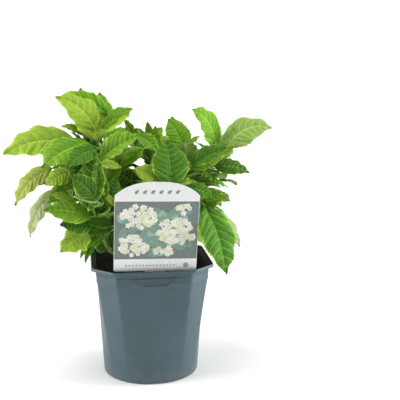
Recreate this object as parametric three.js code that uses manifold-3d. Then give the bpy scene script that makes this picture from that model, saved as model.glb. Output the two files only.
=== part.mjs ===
// A young hydrangea shrub in leaf, growing in a square-shouldered nursery pot with a
// printed card behind the front rim. Millimetres, +Z up, the viewer's side is -Y.
// The origin is the centre of the pot's flat underside.
import * as THREE from 'three';
import { mergeVertices } from 'three/addons/utils/BufferGeometryUtils.js';
import Module from 'manifold-3d';

const wasm = await Module();
wasm.setup();

// Driving dimensions: the pot.
const POT = {
  height: 187,
  lipHalf: 95,        // half across the flats at the lip
  flatShare: 0.653,   // half of one flat side over half across the flats
  lipDepth: 5,
  collarHalf: 88,     // just under the lip
  collarFoot: 163,    // height where the collar ends
  shoulderHalf: 85.8, // top of the tapering body, under the collar
  shoulderHeight: 160,
  footRadius: 76.4,
  footBevel: 2.5,
  wall: 2,
  lipWall: 1.6,
  floor: 4.4,
  flatSteps: 5,       // facets along a flat side and across a corner
  cornerSteps: 2,
  drains: 8,
  drainRadius: 5,
  drainRing: 46,
  notchWidth: 35,
  notchHeight: 3.6,
  notchDepth: 7,
};
const SOIL_TOP = 165;
const TAB = { top: 67, bottom: 36, height: 13, highest: 174.5, stand: 0.7 };

// Driving dimensions: the card.
const CARD = {
  width: 125,
  foot: 186.1,        // height of the card's lower edge, inside the lip
  shoulder: 305,      // height where its arched top begins
  top: 326,
  crestPower: 2.6,    // the arch is flatter than a round one
  thickness: 0.8,
  x: 0.4,
  footY: -85.9,
  lean: 10.6,         // degrees, outward
  tilt: 1.4,          // degrees, to the viewer's right
  stakeWidth: 30,
  stakeBreak: 172,    // height where the stake turns in under the collar
  stakeLean: 20,
  stakeFoot: 125,
};

// Driving dimensions: the plant.
const CROWN = { x: 0, y: 6, foot: 22, neck: 17, height: 20 };
const CANE = { foot: 3.7, tip: 2.6, ring: 14, sides: 6, steps: 7 };
const SHOOT = { foot: 2.6, tip: 1.6, sides: 5 };
const LEAF = {
  thicknessShare: 1 / 75,
  stations: [0.17, 0.48, 0.82],
  curl: 25,           // degrees that each half of the blade curves over
  stalkRadius: 1.5,
};
const CLEAR = 0.3;        // gap between solids that touch on the plant
const APART = 6;          // between leaf samples of two masses
const APART_OWN = 5;      // between leaf samples inside one mass
const SEED = 2026;

const COLOURS = {
  pot: 0x4a5b61, soil: 0x2a2019, card: 0xf1f1ee, wood: 0x8a7a5c, cane: 0x7d8f4a, leaf: 0x5d9a2f,
};

const DEG = Math.PI / 180;
const UP = new THREE.Vector3(0, 0, 1);
const vec = (x, y, z) => new THREE.Vector3(x, y, z);
const mix = (a, b, t) => a + (b - a) * t;
const clamp = (value, low, high) => Math.min(high, Math.max(low, value));

// Seeded numbers from 0 to 1.
function seeded(seed) {
  let state = seed >>> 0;
  return () => {
    state = (Math.imul(state, 1664525) + 1013904223) >>> 0;
    return state / 4294967296;
  };
}

// Solids: a closed geometry becomes a manifold, and the other way round.
function solidOf(geometry) {
  const bare = geometry.clone();
  bare.deleteAttribute('normal');
  bare.deleteAttribute('uv');
  const merged = mergeVertices(bare, 1e-4);
  return new wasm.Manifold(new wasm.Mesh({
    numProp: 3,
    vertProperties: new Float32Array(merged.attributes.position.array),
    triVerts: new Uint32Array(merged.index.array),
  }));
}

function geometryOf(solid) {
  const mesh = solid.getMesh();
  const geometry = new THREE.BufferGeometry();
  geometry.setAttribute('position', new THREE.BufferAttribute(mesh.vertProperties, 3));
  geometry.setIndex(new THREE.BufferAttribute(mesh.triVerts, 1));
  return geometry;
}

// A closed skin over stacked rings of equal count, capped by fans at both ends. The last fan
// may run out to a point.
function loft(rings, point = null) {
  const count = rings[0].length;
  const points = rings.flat();
  const faces = [];
  for (let r = 0; r + 1 < rings.length; r++) {
    for (let i = 0; i < count; i++) {
      const a = r * count + i;
      const b = r * count + (i + 1) % count;
      faces.push(a, b, b + count, a, b + count, a + count);
    }
  }
  const centre = (ring) => ring.reduce((sum, p) => sum.add(p), vec(0, 0, 0)).divideScalar(count);
  const bottom = points.push(centre(rings[0])) - 1;
  const top = points.push(point ?? centre(rings[rings.length - 1])) - 1;
  const last = (rings.length - 1) * count;
  for (let i = 0; i < count; i++) {
    const next = (i + 1) % count;
    faces.push(bottom, next, i, top, last + i, last + next);
  }
  const geometry = new THREE.BufferGeometry().setFromPoints(points);
  geometry.setIndex(faces);
  return solidOf(geometry);
}

// A tapering round limb along a curve, its ends square to the curve.
function limb(curve, footRadius, tipRadius, steps, sides) {
  let across = null;
  const rings = [];
  for (let k = 0; k <= steps; k++) {
    const t = k / steps;
    const centre = curve.getPoint(t);
    const along = curve.getTangent(t);
    across = across ?? vec(1, 0.3, 0).cross(along);
    across = across.clone().addScaledVector(along, -across.dot(along)).normalize();
    const other = along.clone().cross(across);
    const radius = mix(footRadius, tipRadius, t);
    rings.push(Array.from({ length: sides }, (_, i) => {
      const turn = 2 * Math.PI * i / sides;
      return centre.clone()
        .addScaledVector(across, radius * Math.cos(turn))
        .addScaledVector(other, radius * Math.sin(turn));
    }));
  }
  return loft(rings);
}

// Pot: an octagon with four long sides at the lip that turns round towards the foot.
function potRadius(turn, half, roundness) {
  const c = Math.abs(Math.cos(turn));
  const s = Math.abs(Math.sin(turn));
  const octagon = Math.min(half / Math.max(c, s), half * (1 + POT.flatShare) / (c + s));
  return mix(octagon, half, roundness);
}

function potTurns() {
  const corner = Math.atan(POT.flatShare);
  const turns = [];
  for (let quarter = 0; quarter < 4; quarter++) {
    const middle = quarter * Math.PI / 2;
    for (let i = 0; i < POT.flatSteps; i++) {
      turns.push(middle - corner + 2 * corner * i / POT.flatSteps);
    }
    for (let i = 0; i < POT.cornerSteps; i++) {
      turns.push(middle + corner + (Math.PI / 2 - 2 * corner) * i / POT.cornerSteps);
    }
  }
  return turns;
}

function potRing(z, half) {
  const roundness = clamp((POT.shoulderHeight - 2 - z) / (POT.shoulderHeight - 2 - POT.footBevel), 0, 1);
  return potTurns().map((turn) => {
    const radius = potRadius(turn, half, roundness);
    return vec(radius * Math.cos(turn), radius * Math.sin(turn), z);
  });
}

// The space inside the pot's wall up to its collar, less a gap all round, with levels above it.
function potInside(gap, levels) {
  const rings = [
    [POT.floor + gap, POT.footRadius - POT.wall],
    [POT.shoulderHeight - 2, POT.shoulderHalf - POT.wall],
    [POT.collarFoot - 2, POT.collarHalf - 1 - POT.wall],
    ...levels,
  ];
  return loft(rings.map(([z, half]) => potRing(z, half - gap)));
}

function makePot() {
  const outside = [
    [0, POT.footRadius - POT.footBevel],
    [POT.footBevel, POT.footRadius],
    [POT.shoulderHeight, POT.shoulderHalf],
    [POT.collarFoot, POT.collarHalf - 1],
    [POT.height - POT.lipDepth - 3, POT.collarHalf],
    [POT.height - POT.lipDepth, POT.lipHalf],
    [POT.height, POT.lipHalf],
  ];
  let pot = loft(outside.map(([z, half]) => potRing(z, half))).subtract(potInside(0, [
    [POT.height - POT.lipDepth - 1, POT.collarHalf - POT.wall],
    [POT.height + 0.01, POT.lipHalf - POT.lipWall],
  ]));
  for (let i = 0; i < POT.drains; i++) {
    const hole = new THREE.CylinderGeometry(POT.drainRadius, POT.drainRadius, 4 * POT.floor, 12);
    hole.rotateX(Math.PI / 2);
    const turn = (i + 0.5) * 2 * Math.PI / POT.drains;
    hole.translate(POT.drainRing * Math.cos(turn), POT.drainRing * Math.sin(turn), 0);
    pot = pot.subtract(solidOf(hole));
  }
  for (let i = 0; i < 4; i++) {
    const arch = new THREE.Shape();
    arch.moveTo(-POT.notchWidth / 2, -1);
    arch.lineTo(POT.notchWidth / 2, -1);
    arch.quadraticCurveTo(POT.notchWidth / 3, POT.notchHeight, 0, POT.notchHeight);
    arch.quadraticCurveTo(-POT.notchWidth / 3, POT.notchHeight, -POT.notchWidth / 2, -1);
    const cut = new THREE.ExtrudeGeometry(arch, { depth: 12, bevelEnabled: false, curveSegments: 4 });
    cut.rotateX(Math.PI / 2);
    cut.translate(0, -POT.footRadius + POT.notchDepth, 0);
    cut.rotateZ(i * Math.PI / 2);
    pot = pot.subtract(solidOf(cut));
  }
  return pot.add(makeTab());
}

// The raised mark on the front of the collar.
function makeTab() {
  const shape = new THREE.Shape([
    new THREE.Vector2(-TAB.bottom / 2, -TAB.height), new THREE.Vector2(TAB.bottom / 2, -TAB.height),
    new THREE.Vector2(TAB.top / 2, 0), new THREE.Vector2(-TAB.top / 2, 0),
  ]);
  const plate = new THREE.ExtrudeGeometry(shape, { depth: 1 + TAB.stand, bevelEnabled: false });
  plate.rotateX(Math.PI / 2);
  const slope = 1 / (POT.height - POT.lipDepth - 3 - POT.collarFoot);
  plate.rotateX(-Math.atan(slope));
  const wallY = POT.collarHalf - 1 + slope * (TAB.highest - POT.collarFoot);
  plate.translate(0, -wallY + 1, TAB.highest);
  return solidOf(plate);
}

function makeSoil() {
  const top = [SOIL_TOP, POT.collarHalf - 1 - POT.wall - 3];
  return potInside(CLEAR, [top]).subtract(stakePlate(CLEAR));
}

// Card: a flat plate that leans out over the front rim, on a stake pushed into the soil. It
// tilts about the height where the stake turns in.
function plate(points, thickness, lean, y, z, pivot) {
  const geometry = new THREE.ExtrudeGeometry(new THREE.Shape(points), {
    depth: thickness, bevelEnabled: false, curveSegments: 4,
  });
  geometry.translate(0, -pivot, -thickness / 2);
  geometry.rotateZ(-CARD.tilt * DEG);
  geometry.translate(0, pivot, 0);
  geometry.rotateX(Math.PI / 2 + lean * DEG);
  geometry.translate(CARD.x, y, z);
  return solidOf(geometry);
}

function cardPlate() {
  const half = CARD.width / 2;
  const stake = CARD.stakeWidth / 2;
  const rise = (z) => (z - CARD.foot) / Math.cos(CARD.lean * DEG);
  const crest = Array.from({ length: 11 }, (_, i) => {
    const x = half * Math.cos(Math.PI * (i + 1) / 12);
    const height = (CARD.top - CARD.shoulder) * (1 - Math.abs(x / half) ** CARD.crestPower);
    return [x, CARD.shoulder + height];
  });
  const outline = [
    [-stake, CARD.stakeBreak], [stake, CARD.stakeBreak], [stake, CARD.foot], [half, CARD.foot],
    [half, CARD.shoulder], ...crest, [-half, CARD.shoulder], [-half, CARD.foot], [-stake, CARD.foot],
  ];
  const points = outline.map(([x, z]) => new THREE.Vector2(x, rise(z)));
  return plate(points, CARD.thickness, CARD.lean, CARD.footY, CARD.foot, rise(CARD.stakeBreak));
}

function stakePlate(extra) {
  const breakY = CARD.footY + (CARD.foot - CARD.stakeBreak) * Math.tan(CARD.lean * DEG);
  const half = CARD.stakeWidth / 2 + extra;
  const depth = (CARD.stakeBreak - CARD.stakeFoot) / Math.cos(CARD.stakeLean * DEG);
  const points = [
    new THREE.Vector2(-half / 3, -depth - extra), new THREE.Vector2(half / 3, -depth - extra),
    new THREE.Vector2(half, -depth / 2), new THREE.Vector2(half, 0.1),
    new THREE.Vector2(-half, 0.1), new THREE.Vector2(-half, -depth / 2),
  ];
  return plate(points, CARD.thickness + 2 * extra, CARD.stakeLean, breakY, CARD.stakeBreak, 0);
}

// Crown: the knobbly woody foot that all the canes rise from, flared where it meets the soil.
function makeCrown(extra) {
  const levels = [[0, CROWN.foot], [0.25, mix(CROWN.foot, CROWN.neck, 0.7)], [0.75, CROWN.neck],
    [1, CROWN.neck - 5]];
  const rings = levels.map(([t, radius]) => Array.from({ length: 14 }, (_, i) => {
    const turn = 2 * Math.PI * i / 14;
    const knob = 1 + 0.07 * Math.sin(3 * turn + 1) * (1 - t);
    const wide = radius * knob + extra;
    return vec(CROWN.x + wide * Math.cos(turn), CROWN.y + wide * Math.sin(turn),
      SOIL_TOP + CLEAR + t * CROWN.height + (t === 0 ? -extra : extra));
  }));
  return loft(rings);
}

// Canes rise from the crown at a turn round it, side stems leave a cane part of the way up.
// Each carries one mass of foliage on a shoot from its foot to its tip.
const SHOOTS = [
  { name: 'left', turn: 205, foot: [-90, 2, 312], tip: [-98, -14, 376], start: 0 },
  { name: 'top_left', turn: 167, foot: [-58, 18, 302], tip: [-80, 8, 400], start: 20 },
  { name: 'front_left', turn: 244, foot: [-70, -52, 218], tip: [-90, -80, 284], start: 150 },
  { name: 'centre', turn: 0, ring: 0, foot: [4, 4, 280], tip: [4, 2, 346], start: 60 },
  { name: 'centre_right', turn: 325, foot: [46, -22, 284], tip: [56, -38, 346], start: 80 },
  { name: 'right', turn: 3, foot: [84, 4, 292], tip: [104, -4, 352], start: 50 },
  { name: 'back_right', turn: 48, foot: [52, 52, 280], tip: [62, 66, 346], start: 30 },
  { name: 'back', turn: 90, foot: [2, 56, 282], tip: [4, 72, 352], start: 50 },
  { name: 'back_left', turn: 129, foot: [-48, 54, 284], tip: [-58, 74, 352], start: 70 },
  { name: 'left_low', from: 'left', at: 0.5, foot: [-110, 16, 256], tip: [-134, 14, 318], start: 15 },
  { name: 'centre_left', from: 'front_left', at: 0.5, foot: [-50, -40, 282], tip: [-66, -48, 350], start: 35 },
  { name: 'right_front', from: 'centre', at: 0.3, foot: [16, -52, 250], tip: [24, -74, 308], start: 55 },
  { name: 'right_low', from: 'centre_right', at: 0.4, foot: [62, -40, 228], tip: [74, -58, 284], start: 75 },
  { name: 'right_back', from: 'back_right', at: 0.4, foot: [66, 58, 244], tip: [82, 74, 300], start: 25,
    size: 0.72 },
  { name: 'back_low', from: 'back', at: 0.4, foot: [8, 92, 240], tip: [12, 118, 300], start: 45 },
  { name: 'left_back', from: 'back_left', at: 0.4, foot: [-80, 62, 244], tip: [-98, 82, 304], start: 65,
    size: 0.85 },
];

// Leaves that stand out on the viewer's side, each by the foot of its blade.
const posed = (shoot, base, bearing, rise, length, width, bend, fold, roll) => ({
  shoot, base: vec(...base), bearing, rise, length, width, bend, fold, roll,
});
const POSED = [
  posed('top_left', [-79, -14, 375], 171, 84, 102, 0.62, 75, 15, 42),
  posed('top_left', [-80, 16, 386], 136, 76, 78, 0.8, 25, 12, 5),
  posed('top_left', [-74, 12, 390], 89, 81, 63, 0.75, 18, 15, -5),
  posed('top_left', [-70, -4, 398], -7, 40, 54, 0.75, 20, 15, -40),
  posed('top_left', [-68, -22, 390], -14, 46, 47, 0.66, 25, 20, -30),
  posed('left', [-113, 0, 369], -172, 21, 116, 0.58, 55, 15, 40),
  posed('left', [-90, -34, 372], -150, 6, 90, 0.75, 50, 12, 25),
  posed('left', [-100, -4, 384], -166, 48, 40, 0.6, 50, 15, 30),
  posed('left_low', [-151, 5, 333], -170, -19, 84, 0.5, 50, 15, 35),
  posed('left_low', [-143, 15, 297], -168, -33, 90, 0.42, 50, 15, 30),
  posed('left_low', [-114, 0, 306], -169, 30, 52, 0.6, 30, 20, 45),
  posed('front_left', [-97, -100, 288], 64, 66, 84, 0.62, -10, 25, 0),
  posed('front_left', [-66, -84, 284], 40, 66, 47, 0.62, 8, 30, 0),
  posed('front_left', [-94, -82, 272], -167, 22, 71, 0.62, 20, 10, 40),
  posed('front_left', [-92, -80, 258], -157, 16, 51, 0.75, 20, 10, 50),
  posed('front_left', [-94, -82, 243], -158, 0, 54, 0.9, 45, 8, 42),
  posed('centre_left', [-76, -58, 354], -14, 41, 70, 0.68, 20, 30, -45),
  posed('centre_left', [-50, -34, 332], -14, 50, 54, 0.7, 20, 30, -50),
  posed('centre_left', [-60, -62, 322], -126, 65, 38, 0.7, 20, 20, 0),
  posed('centre', [-2, -2, 358], 148, 69, 42, 0.6, 15, 20, 0),
  posed('centre', [8, 6, 358], 64, 80, 40, 0.6, 15, 20, 0),
  posed('centre', [-20, 8, 366], -151, 82, 44, 0.5, 20, 20, 0),
  posed('centre', [12, 10, 352], 36, 56, 40, 0.6, 15, 20, 0),
  posed('centre', [8, -16, 312], 163, 71, 43, 0.6, 10, 15, 0),
  posed('centre_right', [48, -22, 366], 111, 68, 54, 0.85, 20, 15, -5),
  posed('centre_right', [60, -58, 342], -10, 31, 62, 0.6, 10, 30, -45),
  posed('right', [106, 2, 358], -172, 98, 82, 0.85, 78, 12, 42),
  posed('right', [125, 0, 360], -4, 66, 88, 0.68, 85, 8, -42),
  posed('right', [101, -30, 333], -2, 16, 58, 0.62, 50, 10, -40),
  posed('right_front', [27, -88, 317], 99, 69, 71, 0.85, 8, 20, 0),
  posed('right_front', [18, -65, 312], -168, 36, 55, 0.65, 20, 20, 40),
  posed('right_front', [46, -76, 313], -13, -5, 49, 0.6, 30, 10, -40),
  posed('right_low', [78, -75, 282], -56, -49, 111, 0.58, 30, 15, -8),
  posed('right_low', [100, -34, 263], -14, -34, 70, 0.42, 40, 15, -30),
  posed('right_low', [72, -48, 294], -12, 4, 50, 0.6, 30, 15, -40),
];

function shootLine(shoot) {
  return new THREE.LineCurve3(vec(...shoot.foot), vec(...shoot.tip));
}

// The limb under a shoot: it leaves the crown or its cane and swings round to meet the shoot.
function limbCurve(shoot, curves) {
  const end = vec(...shoot.foot);
  const along = shootLine(shoot).getTangent(0);
  end.addScaledVector(along, -CLEAR / 2);
  let begin;
  let leave;
  if (shoot.from) {
    begin = curves[shoot.from].getPoint(shoot.at);
    leave = curves[shoot.from].getTangent(shoot.at).add(end.clone().sub(begin).normalize()).normalize();
  } else {
    const ring = shoot.ring ?? CANE.ring;
    const out = vec(Math.cos(shoot.turn * DEG), Math.sin(shoot.turn * DEG), 0);
    begin = vec(CROWN.x, CROWN.y, SOIL_TOP + CROWN.height - 6).addScaledVector(out, ring);
    leave = UP.clone().addScaledVector(out, ring / CANE.ring * 0.55).normalize();
  }
  const reach = begin.distanceTo(end);
  return new THREE.CubicBezierCurve3(begin, begin.clone().addScaledVector(leave, 0.35 * reach),
    end.clone().addScaledVector(along, -0.35 * reach), end);
}

// Leaf: its outline, widest below the middle, and a point on its folded, bending blade.
const outline = (s) => Math.sin(Math.PI * s ** 0.8) ** 0.85 * (1 - 0.12 * s);

function bladePoint(leaf, s, u) {
  const rise = leaf.rise * DEG;
  const bend = leaf.bend * DEG;
  const slope = rise - bend * s;
  const out = vec(Math.cos(leaf.bearing * DEG), Math.sin(leaf.bearing * DEG), 0);
  const side = vec(out.y, -out.x, 0);
  const lift = out.clone().multiplyScalar(-Math.sin(slope)).addScaledVector(UP, Math.cos(slope));
  const roll = leaf.roll * DEG;
  const across = side.clone().multiplyScalar(Math.cos(roll)).addScaledVector(lift, Math.sin(roll));
  const normal = side.clone().multiplyScalar(-Math.sin(roll)).addScaledVector(lift, Math.cos(roll));
  const fold = leaf.fold * DEG;
  const curl = LEAF.curl * DEG;
  const turned = fold - curl * Math.abs(u);
  const half = 0.5 * leaf.width * leaf.length * (s > 0 && s < 1 ? outline(s) : 0);
  const point = leaf.base.clone()
    .addScaledVector(out, leaf.length / bend * (Math.sin(rise) - Math.sin(slope)))
    .addScaledVector(UP, leaf.length / bend * (Math.cos(slope) - Math.cos(rise)))
    .addScaledVector(across, Math.sign(u) * half * (Math.sin(fold) - Math.sin(turned)) / curl)
    .addScaledVector(normal, half * (Math.cos(turned) - Math.cos(fold)) / curl);
  return { point, normal, across };
}

// One solid of stalk and blade: rings of six points that start round inside the shoot, flatten
// into the blade and run out at its tip.
function leafSolid(leaf, line) {
  const half = leaf.length * LEAF.thicknessShare / 2;
  const stalk = stalkCurve(leaf, line);
  const rings = [0, 1].map((t) => {
    const along = stalk.getTangent(t);
    const across = bladePoint(leaf, 0, 0).across;
    across.addScaledVector(along, -across.dot(along)).normalize();
    const normal = along.clone().cross(across).negate();
    const middle = stalk.getPoint(t);
    const edge = (u) => middle.clone().addScaledVector(across, u * LEAF.stalkRadius);
    return sixPoints(edge(-1), middle, edge(1), normal, t === 0 ? LEAF.stalkRadius : half + 0.4);
  });
  for (const s of LEAF.stations) {
    const [left, middle, right] = [-1, 0, 1].map((u) => bladePoint(leaf, s, u));
    rings.push(sixPoints(left.point, middle.point, right.point, middle.normal, half));
  }
  return loft(rings, bladePoint(leaf, 1, 0).point);
}

// The ring round three points across a leaf, counter-clockwise about the way to its tip.
function sixPoints(left, middle, right, normal, half) {
  const shift = (p, by) => p.clone().addScaledVector(normal, by);
  return [shift(middle, half), shift(right, half), shift(right, -half),
    shift(middle, -half), shift(left, -half), shift(left, half)];
}

// The stalk leaves the shoot below the blade's foot.
function stalkCurve(leaf, line) {
  const along = line.getTangent(0);
  const reach = leaf.base.clone().sub(line.v1);
  const up = reach.dot(along);
  const out = reach.addScaledVector(along, -up).length();
  return new THREE.LineCurve3(line.getPoint(clamp((up - 0.7 * out) / line.getLength(), 0.06, 0.97)), leaf.base);
}

// Sample points of a leaf, for keeping leaves apart: the blade's, and the stalk's after them.
function sampled(leaf, line) {
  const blade = [];
  for (let i = 1; i <= 14; i++) {
    for (let j = -3; j <= 3; j++) blade.push(bladePoint(leaf, i / 14, j / 3).point);
  }
  const stalk = stalkCurve(leaf, line).getPoints(5);
  return { leaf, blade, all: [...blade, ...stalk] };
}

// Leaves in opposite pairs, each pair a quarter turn from the last, large and spread low
// on the shoot, small and upright near its tip.
const PAIRS = [0.1, 0.34, 0.56, 0.75, 0.9, 1];
function ruleLeaves(shoot, index) {
  const line = shootLine(shoot);
  const leaves = [];
  PAIRS.forEach((at, pair) => {
    for (let opposite = 0; opposite < 2; opposite++) {
      const random = seeded(SEED + 97 * index + 13 * pair + 5 * opposite);
      random();
      const level = pair / (PAIRS.length - 1);
      const bearing = shoot.start + 90 * pair + 180 * opposite + 24 * (random() - 0.5);
      const rise = mix(8, 68, level) + 14 * (random() - 0.5);
      const length = mix(96, 34, level ** 1.3) * (0.88 + 0.24 * random()) * (shoot.size ?? 1);
      const stalk = mix(18, 5, level);
      const begin = line.getPoint(at);
      const turn = bearing * DEG;
      const lift = (rise + 15) * DEG;
      const base = begin.clone().add(vec(
        stalk * Math.cos(lift) * Math.cos(turn),
        stalk * Math.cos(lift) * Math.sin(turn),
        stalk * Math.sin(lift),
      ));
      leaves.push({
        shoot: shoot.name, base, bearing, rise, length, width: 0.6 + 0.08 * random(),
        bend: mix(55, 25, level), fold: mix(10, 26, level), roll: 20 * (random() - 0.5),
      });
    }
  });
  return leaves;
}

// A rule leaf that comes too near something is turned, then shortened, and at last left out.
const TRIES = [
  [0, 0, 1], [18, 0, 1], [-18, 0, 1], [0, 16, 0.95], [0, -16, 0.9], [28, 10, 0.8], [-28, -10, 0.8],
  [0, 0, 0.68],
];

function nearest(samples, others) {
  let best = Infinity;
  for (const p of samples) for (const q of others) best = Math.min(best, p.distanceToSquared(q));
  return Math.sqrt(best);
}

function clearOfPot(samples) {
  return samples.every((p) => {
    const turn = Math.atan2(p.y, p.x);
    const inRim = Math.hypot(p.x, p.y) < potRadius(turn, POT.lipHalf, 0) + 4;
    return !(inRim && p.z < POT.height + 5);
  });
}

function clearOfCard(samples) {
  return samples.every((p) => {
    const behind = p.y - (CARD.footY - (p.z - CARD.foot) * Math.tan(CARD.lean * DEG));
    const middle = CARD.x + (p.z - CARD.stakeBreak) * Math.tan(CARD.tilt * DEG);
    const beside = Math.abs(p.x - middle) > CARD.width / 2 + 5 || p.z > CARD.top + 5;
    return beside || behind > 6;
  });
}

function growLeaves(curves) {
  const limbSpots = Object.values(curves).flatMap((curve) => curve.getPoints(24));
  const lines = Object.fromEntries(SHOOTS.map((shoot) => [shoot.name, shootLine(shoot)]));
  const placed = POSED.map((leaf) => sampled(leaf, lines[leaf.shoot]));
  SHOOTS.forEach((shoot, index) => {
    const line = lines[shoot.name];
    const otherLines = SHOOTS.filter((other) => other !== shoot)
      .flatMap((other) => lines[other.name].getPoints(10));
    for (const first of ruleLeaves(shoot, index)) {
      for (const [turn, lift, scale] of TRIES) {
        const tried = sampled({ ...first, bearing: first.bearing + turn, rise: first.rise + lift,
          length: first.length * scale }, line);
        const free = placed.every((other) => {
          const own = other.leaf.shoot === shoot.name;
          if (other.leaf.base.distanceTo(first.base) > first.length + other.leaf.length) return true;
          return own ? nearest(tried.blade, other.blade) > APART_OWN
            : nearest(tried.all, other.all) > APART;
        });
        if (free && nearest(tried.blade, limbSpots) > APART + 1 && nearest(tried.all, otherLines) > APART + 1
          && clearOfPot(tried.blade) && clearOfCard(tried.blade)) {
          placed.push(tried);
          break;
        }
      }
    }
  });
  return placed.map((each) => each.leaf);
}

function makeFoliage(shoot, leaves) {
  const line = shootLine(shoot);
  const away = line.getTangent(0).multiplyScalar(CLEAR / 2);
  const lifted = new THREE.LineCurve3(line.v1.clone().add(away), line.v2);
  let mass = limb(lifted, SHOOT.foot, SHOOT.tip, 1, SHOOT.sides);
  for (const leaf of leaves) {
    mass = mass.add(leafSolid(leaf, line));
  }
  return mass;
}

// The whole part.
const plant = new THREE.Group();
function place(name, solid, colour, roughness) {
  const material = new THREE.MeshStandardMaterial({ color: colour, roughness, metalness: 0 });
  const mesh = new THREE.Mesh(geometryOf(solid), material);
  mesh.name = name;
  plant.add(mesh);
}

place('pot', makePot(), COLOURS.pot, 0.55);
place('potting_soil', makeSoil(), COLOURS.soil, 0.95);
place('plant_card', cardPlate().add(stakePlate(0)), COLOURS.card, 0.4);
place('crown', makeCrown(0), COLOURS.wood, 0.85);

const curves = {};
const grown = {};
const crownGrown = makeCrown(CLEAR);
for (const shoot of SHOOTS) {
  const curve = limbCurve(shoot, curves);
  const foot = shoot.from ? CANE.tip : CANE.foot;
  curves[shoot.name] = curve;
  grown[shoot.name] = limb(curve, foot + CLEAR, CANE.tip + CLEAR, CANE.steps, CANE.sides);
  const bearer = shoot.from ? grown[shoot.from] : crownGrown;
  const name = shoot.from ? `side_stem_${shoot.name}` : `cane_${shoot.name}`;
  place(name, limb(curve, foot, CANE.tip, CANE.steps, CANE.sides).subtract(bearer), COLOURS.cane, 0.7);
}

const leaves = growLeaves(curves);
for (const shoot of SHOOTS) {
  const own = leaves.filter((leaf) => leaf.shoot === shoot.name);
  place(`foliage_${shoot.name}`, makeFoliage(shoot, own), COLOURS.leaf, 0.6);
}

export default plant;
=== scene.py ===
"""A young hydrangea shrub in a nursery pot, dressed over its frame of plain solids."""

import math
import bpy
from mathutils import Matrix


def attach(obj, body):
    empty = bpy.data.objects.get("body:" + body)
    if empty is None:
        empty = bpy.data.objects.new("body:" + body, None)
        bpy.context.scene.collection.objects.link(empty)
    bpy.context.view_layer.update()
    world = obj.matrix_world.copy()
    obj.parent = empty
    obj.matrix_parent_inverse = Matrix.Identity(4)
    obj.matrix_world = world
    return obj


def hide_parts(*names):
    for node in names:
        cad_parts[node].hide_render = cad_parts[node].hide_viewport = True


bl_info = {
    "name": "Potted Hydrangea",
    "version": (1, 0, 0),
    "blender": (4, 5, 0),
    "location": "View3D > Sidebar > Hydrangea",
    "description": "Builds a young hydrangea shrub in leaf, its nursery pot and its picture card",
    "category": "Add Mesh",
}

import bmesh
import bpy
import numpy as np
from mathutils import Vector, noise

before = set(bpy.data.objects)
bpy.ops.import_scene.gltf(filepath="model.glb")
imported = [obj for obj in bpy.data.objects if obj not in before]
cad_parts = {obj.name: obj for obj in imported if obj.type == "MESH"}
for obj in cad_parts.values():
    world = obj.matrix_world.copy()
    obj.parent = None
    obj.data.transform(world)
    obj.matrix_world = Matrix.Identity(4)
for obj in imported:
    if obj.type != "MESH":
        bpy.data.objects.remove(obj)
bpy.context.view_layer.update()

# A millimetre in metres, and the body that every piece rides on.
MM = 0.001
BODY = "root"

# The camera's place and aim in metres, its lens in millimetres, the dots across its picture and the
# nearest and furthest that it sees, in metres.
CAMERA_PLACE = (-0.102, -1.247, 0.504)
CAMERA_AIM = (0.081, -0.0066, 0.2785)
CAMERA_LENS = 71.64
SENSOR_WIDTH = 36
PICTURE_DOTS = 400
CAMERA_SEES = 0.05, 30

# The sweep, in metres: its flat part, the radius of its bend, its top, its sides round and the glow
# of its rim. Then the lamps' places and aim, the side lamps' shares of their power and the sky.
SWEEP_FLAT, SWEEP_BEND, SWEEP_TOP, SWEEP_SIDES = 1.9, 1.2, 4.0, 72
RIM_GLOW = 0.5
KEY_PLACE, LEFT_PLACE, RIGHT_PLACE = (-0.4, -0.25, 2.0), (-1.5, -0.15, 0.55), (1.5, -0.15, 0.55)
LEFT_SHARE, RIGHT_SHARE, LIGHT_AIM = 1.5, 2.4, (0, 0, 0.2)
SKY_STRENGTH = 0.1

# The pot, in millimetres, as the frame has it, with the reach of its crumbs and of the painted shade
# on its inner wall.
POT_HEIGHT = 187.0
LIP_HALF = 95.0
FLAT_SHARE = 0.653
LIP_DEPTH = 5.0
COLLAR_HALF = 88.0
COLLAR_FOOT = 163.0
SHOULDER_HALF = 85.8
SHOULDER_HEIGHT = 160.0
FOOT_RADIUS = 76.4
FOOT_BEVEL = 2.5
WALL = 2.0
FLOOR = 4.4
DRAINS = 8
DRAIN_RADIUS = 5.0
DRAIN_RING = 46.0
DRAIN_SIDES, DRAIN_CUT = 24, (-2, 8)
NOTCH_WIDTH = 35.0
NOTCH_HEIGHT = 3.6
SOIL_TOP, CRUMB_FOOT, CRUMB_EDGE = 165.0, 163.0, 82.0
INSIDE_SHADE_FOOT, INSIDE_SHADE_TOP = 6.0, 186.6
TAB_TOP, TAB_BOTTOM, TAB_HEIGHT, TAB_HIGHEST = 67.0, 36.0, 13.0, 174.5

# The card, in millimetres, with its lean, its tilt and the lean of its stake.
CARD_WIDTH = 125.0
CARD_FOOT = 186.1
CARD_SHOULDER = 305.0
CARD_TOP = 326.0
CREST_POWER = 2.6
CARD_THICKNESS = 0.8
CARD_CORNER, CARD_EASE = 2.4, 0.15
CARD_X = 0.4
CARD_FOOT_Y = -85.9
CARD_LEAN = math.radians(10.6)
CARD_TILT = math.radians(1.4)
STAKE_WIDTH = 30.0
STAKE_BREAK = 172.0
STAKE_LEAN = math.radians(20)
STAKE_FOOT = 125.0

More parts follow.
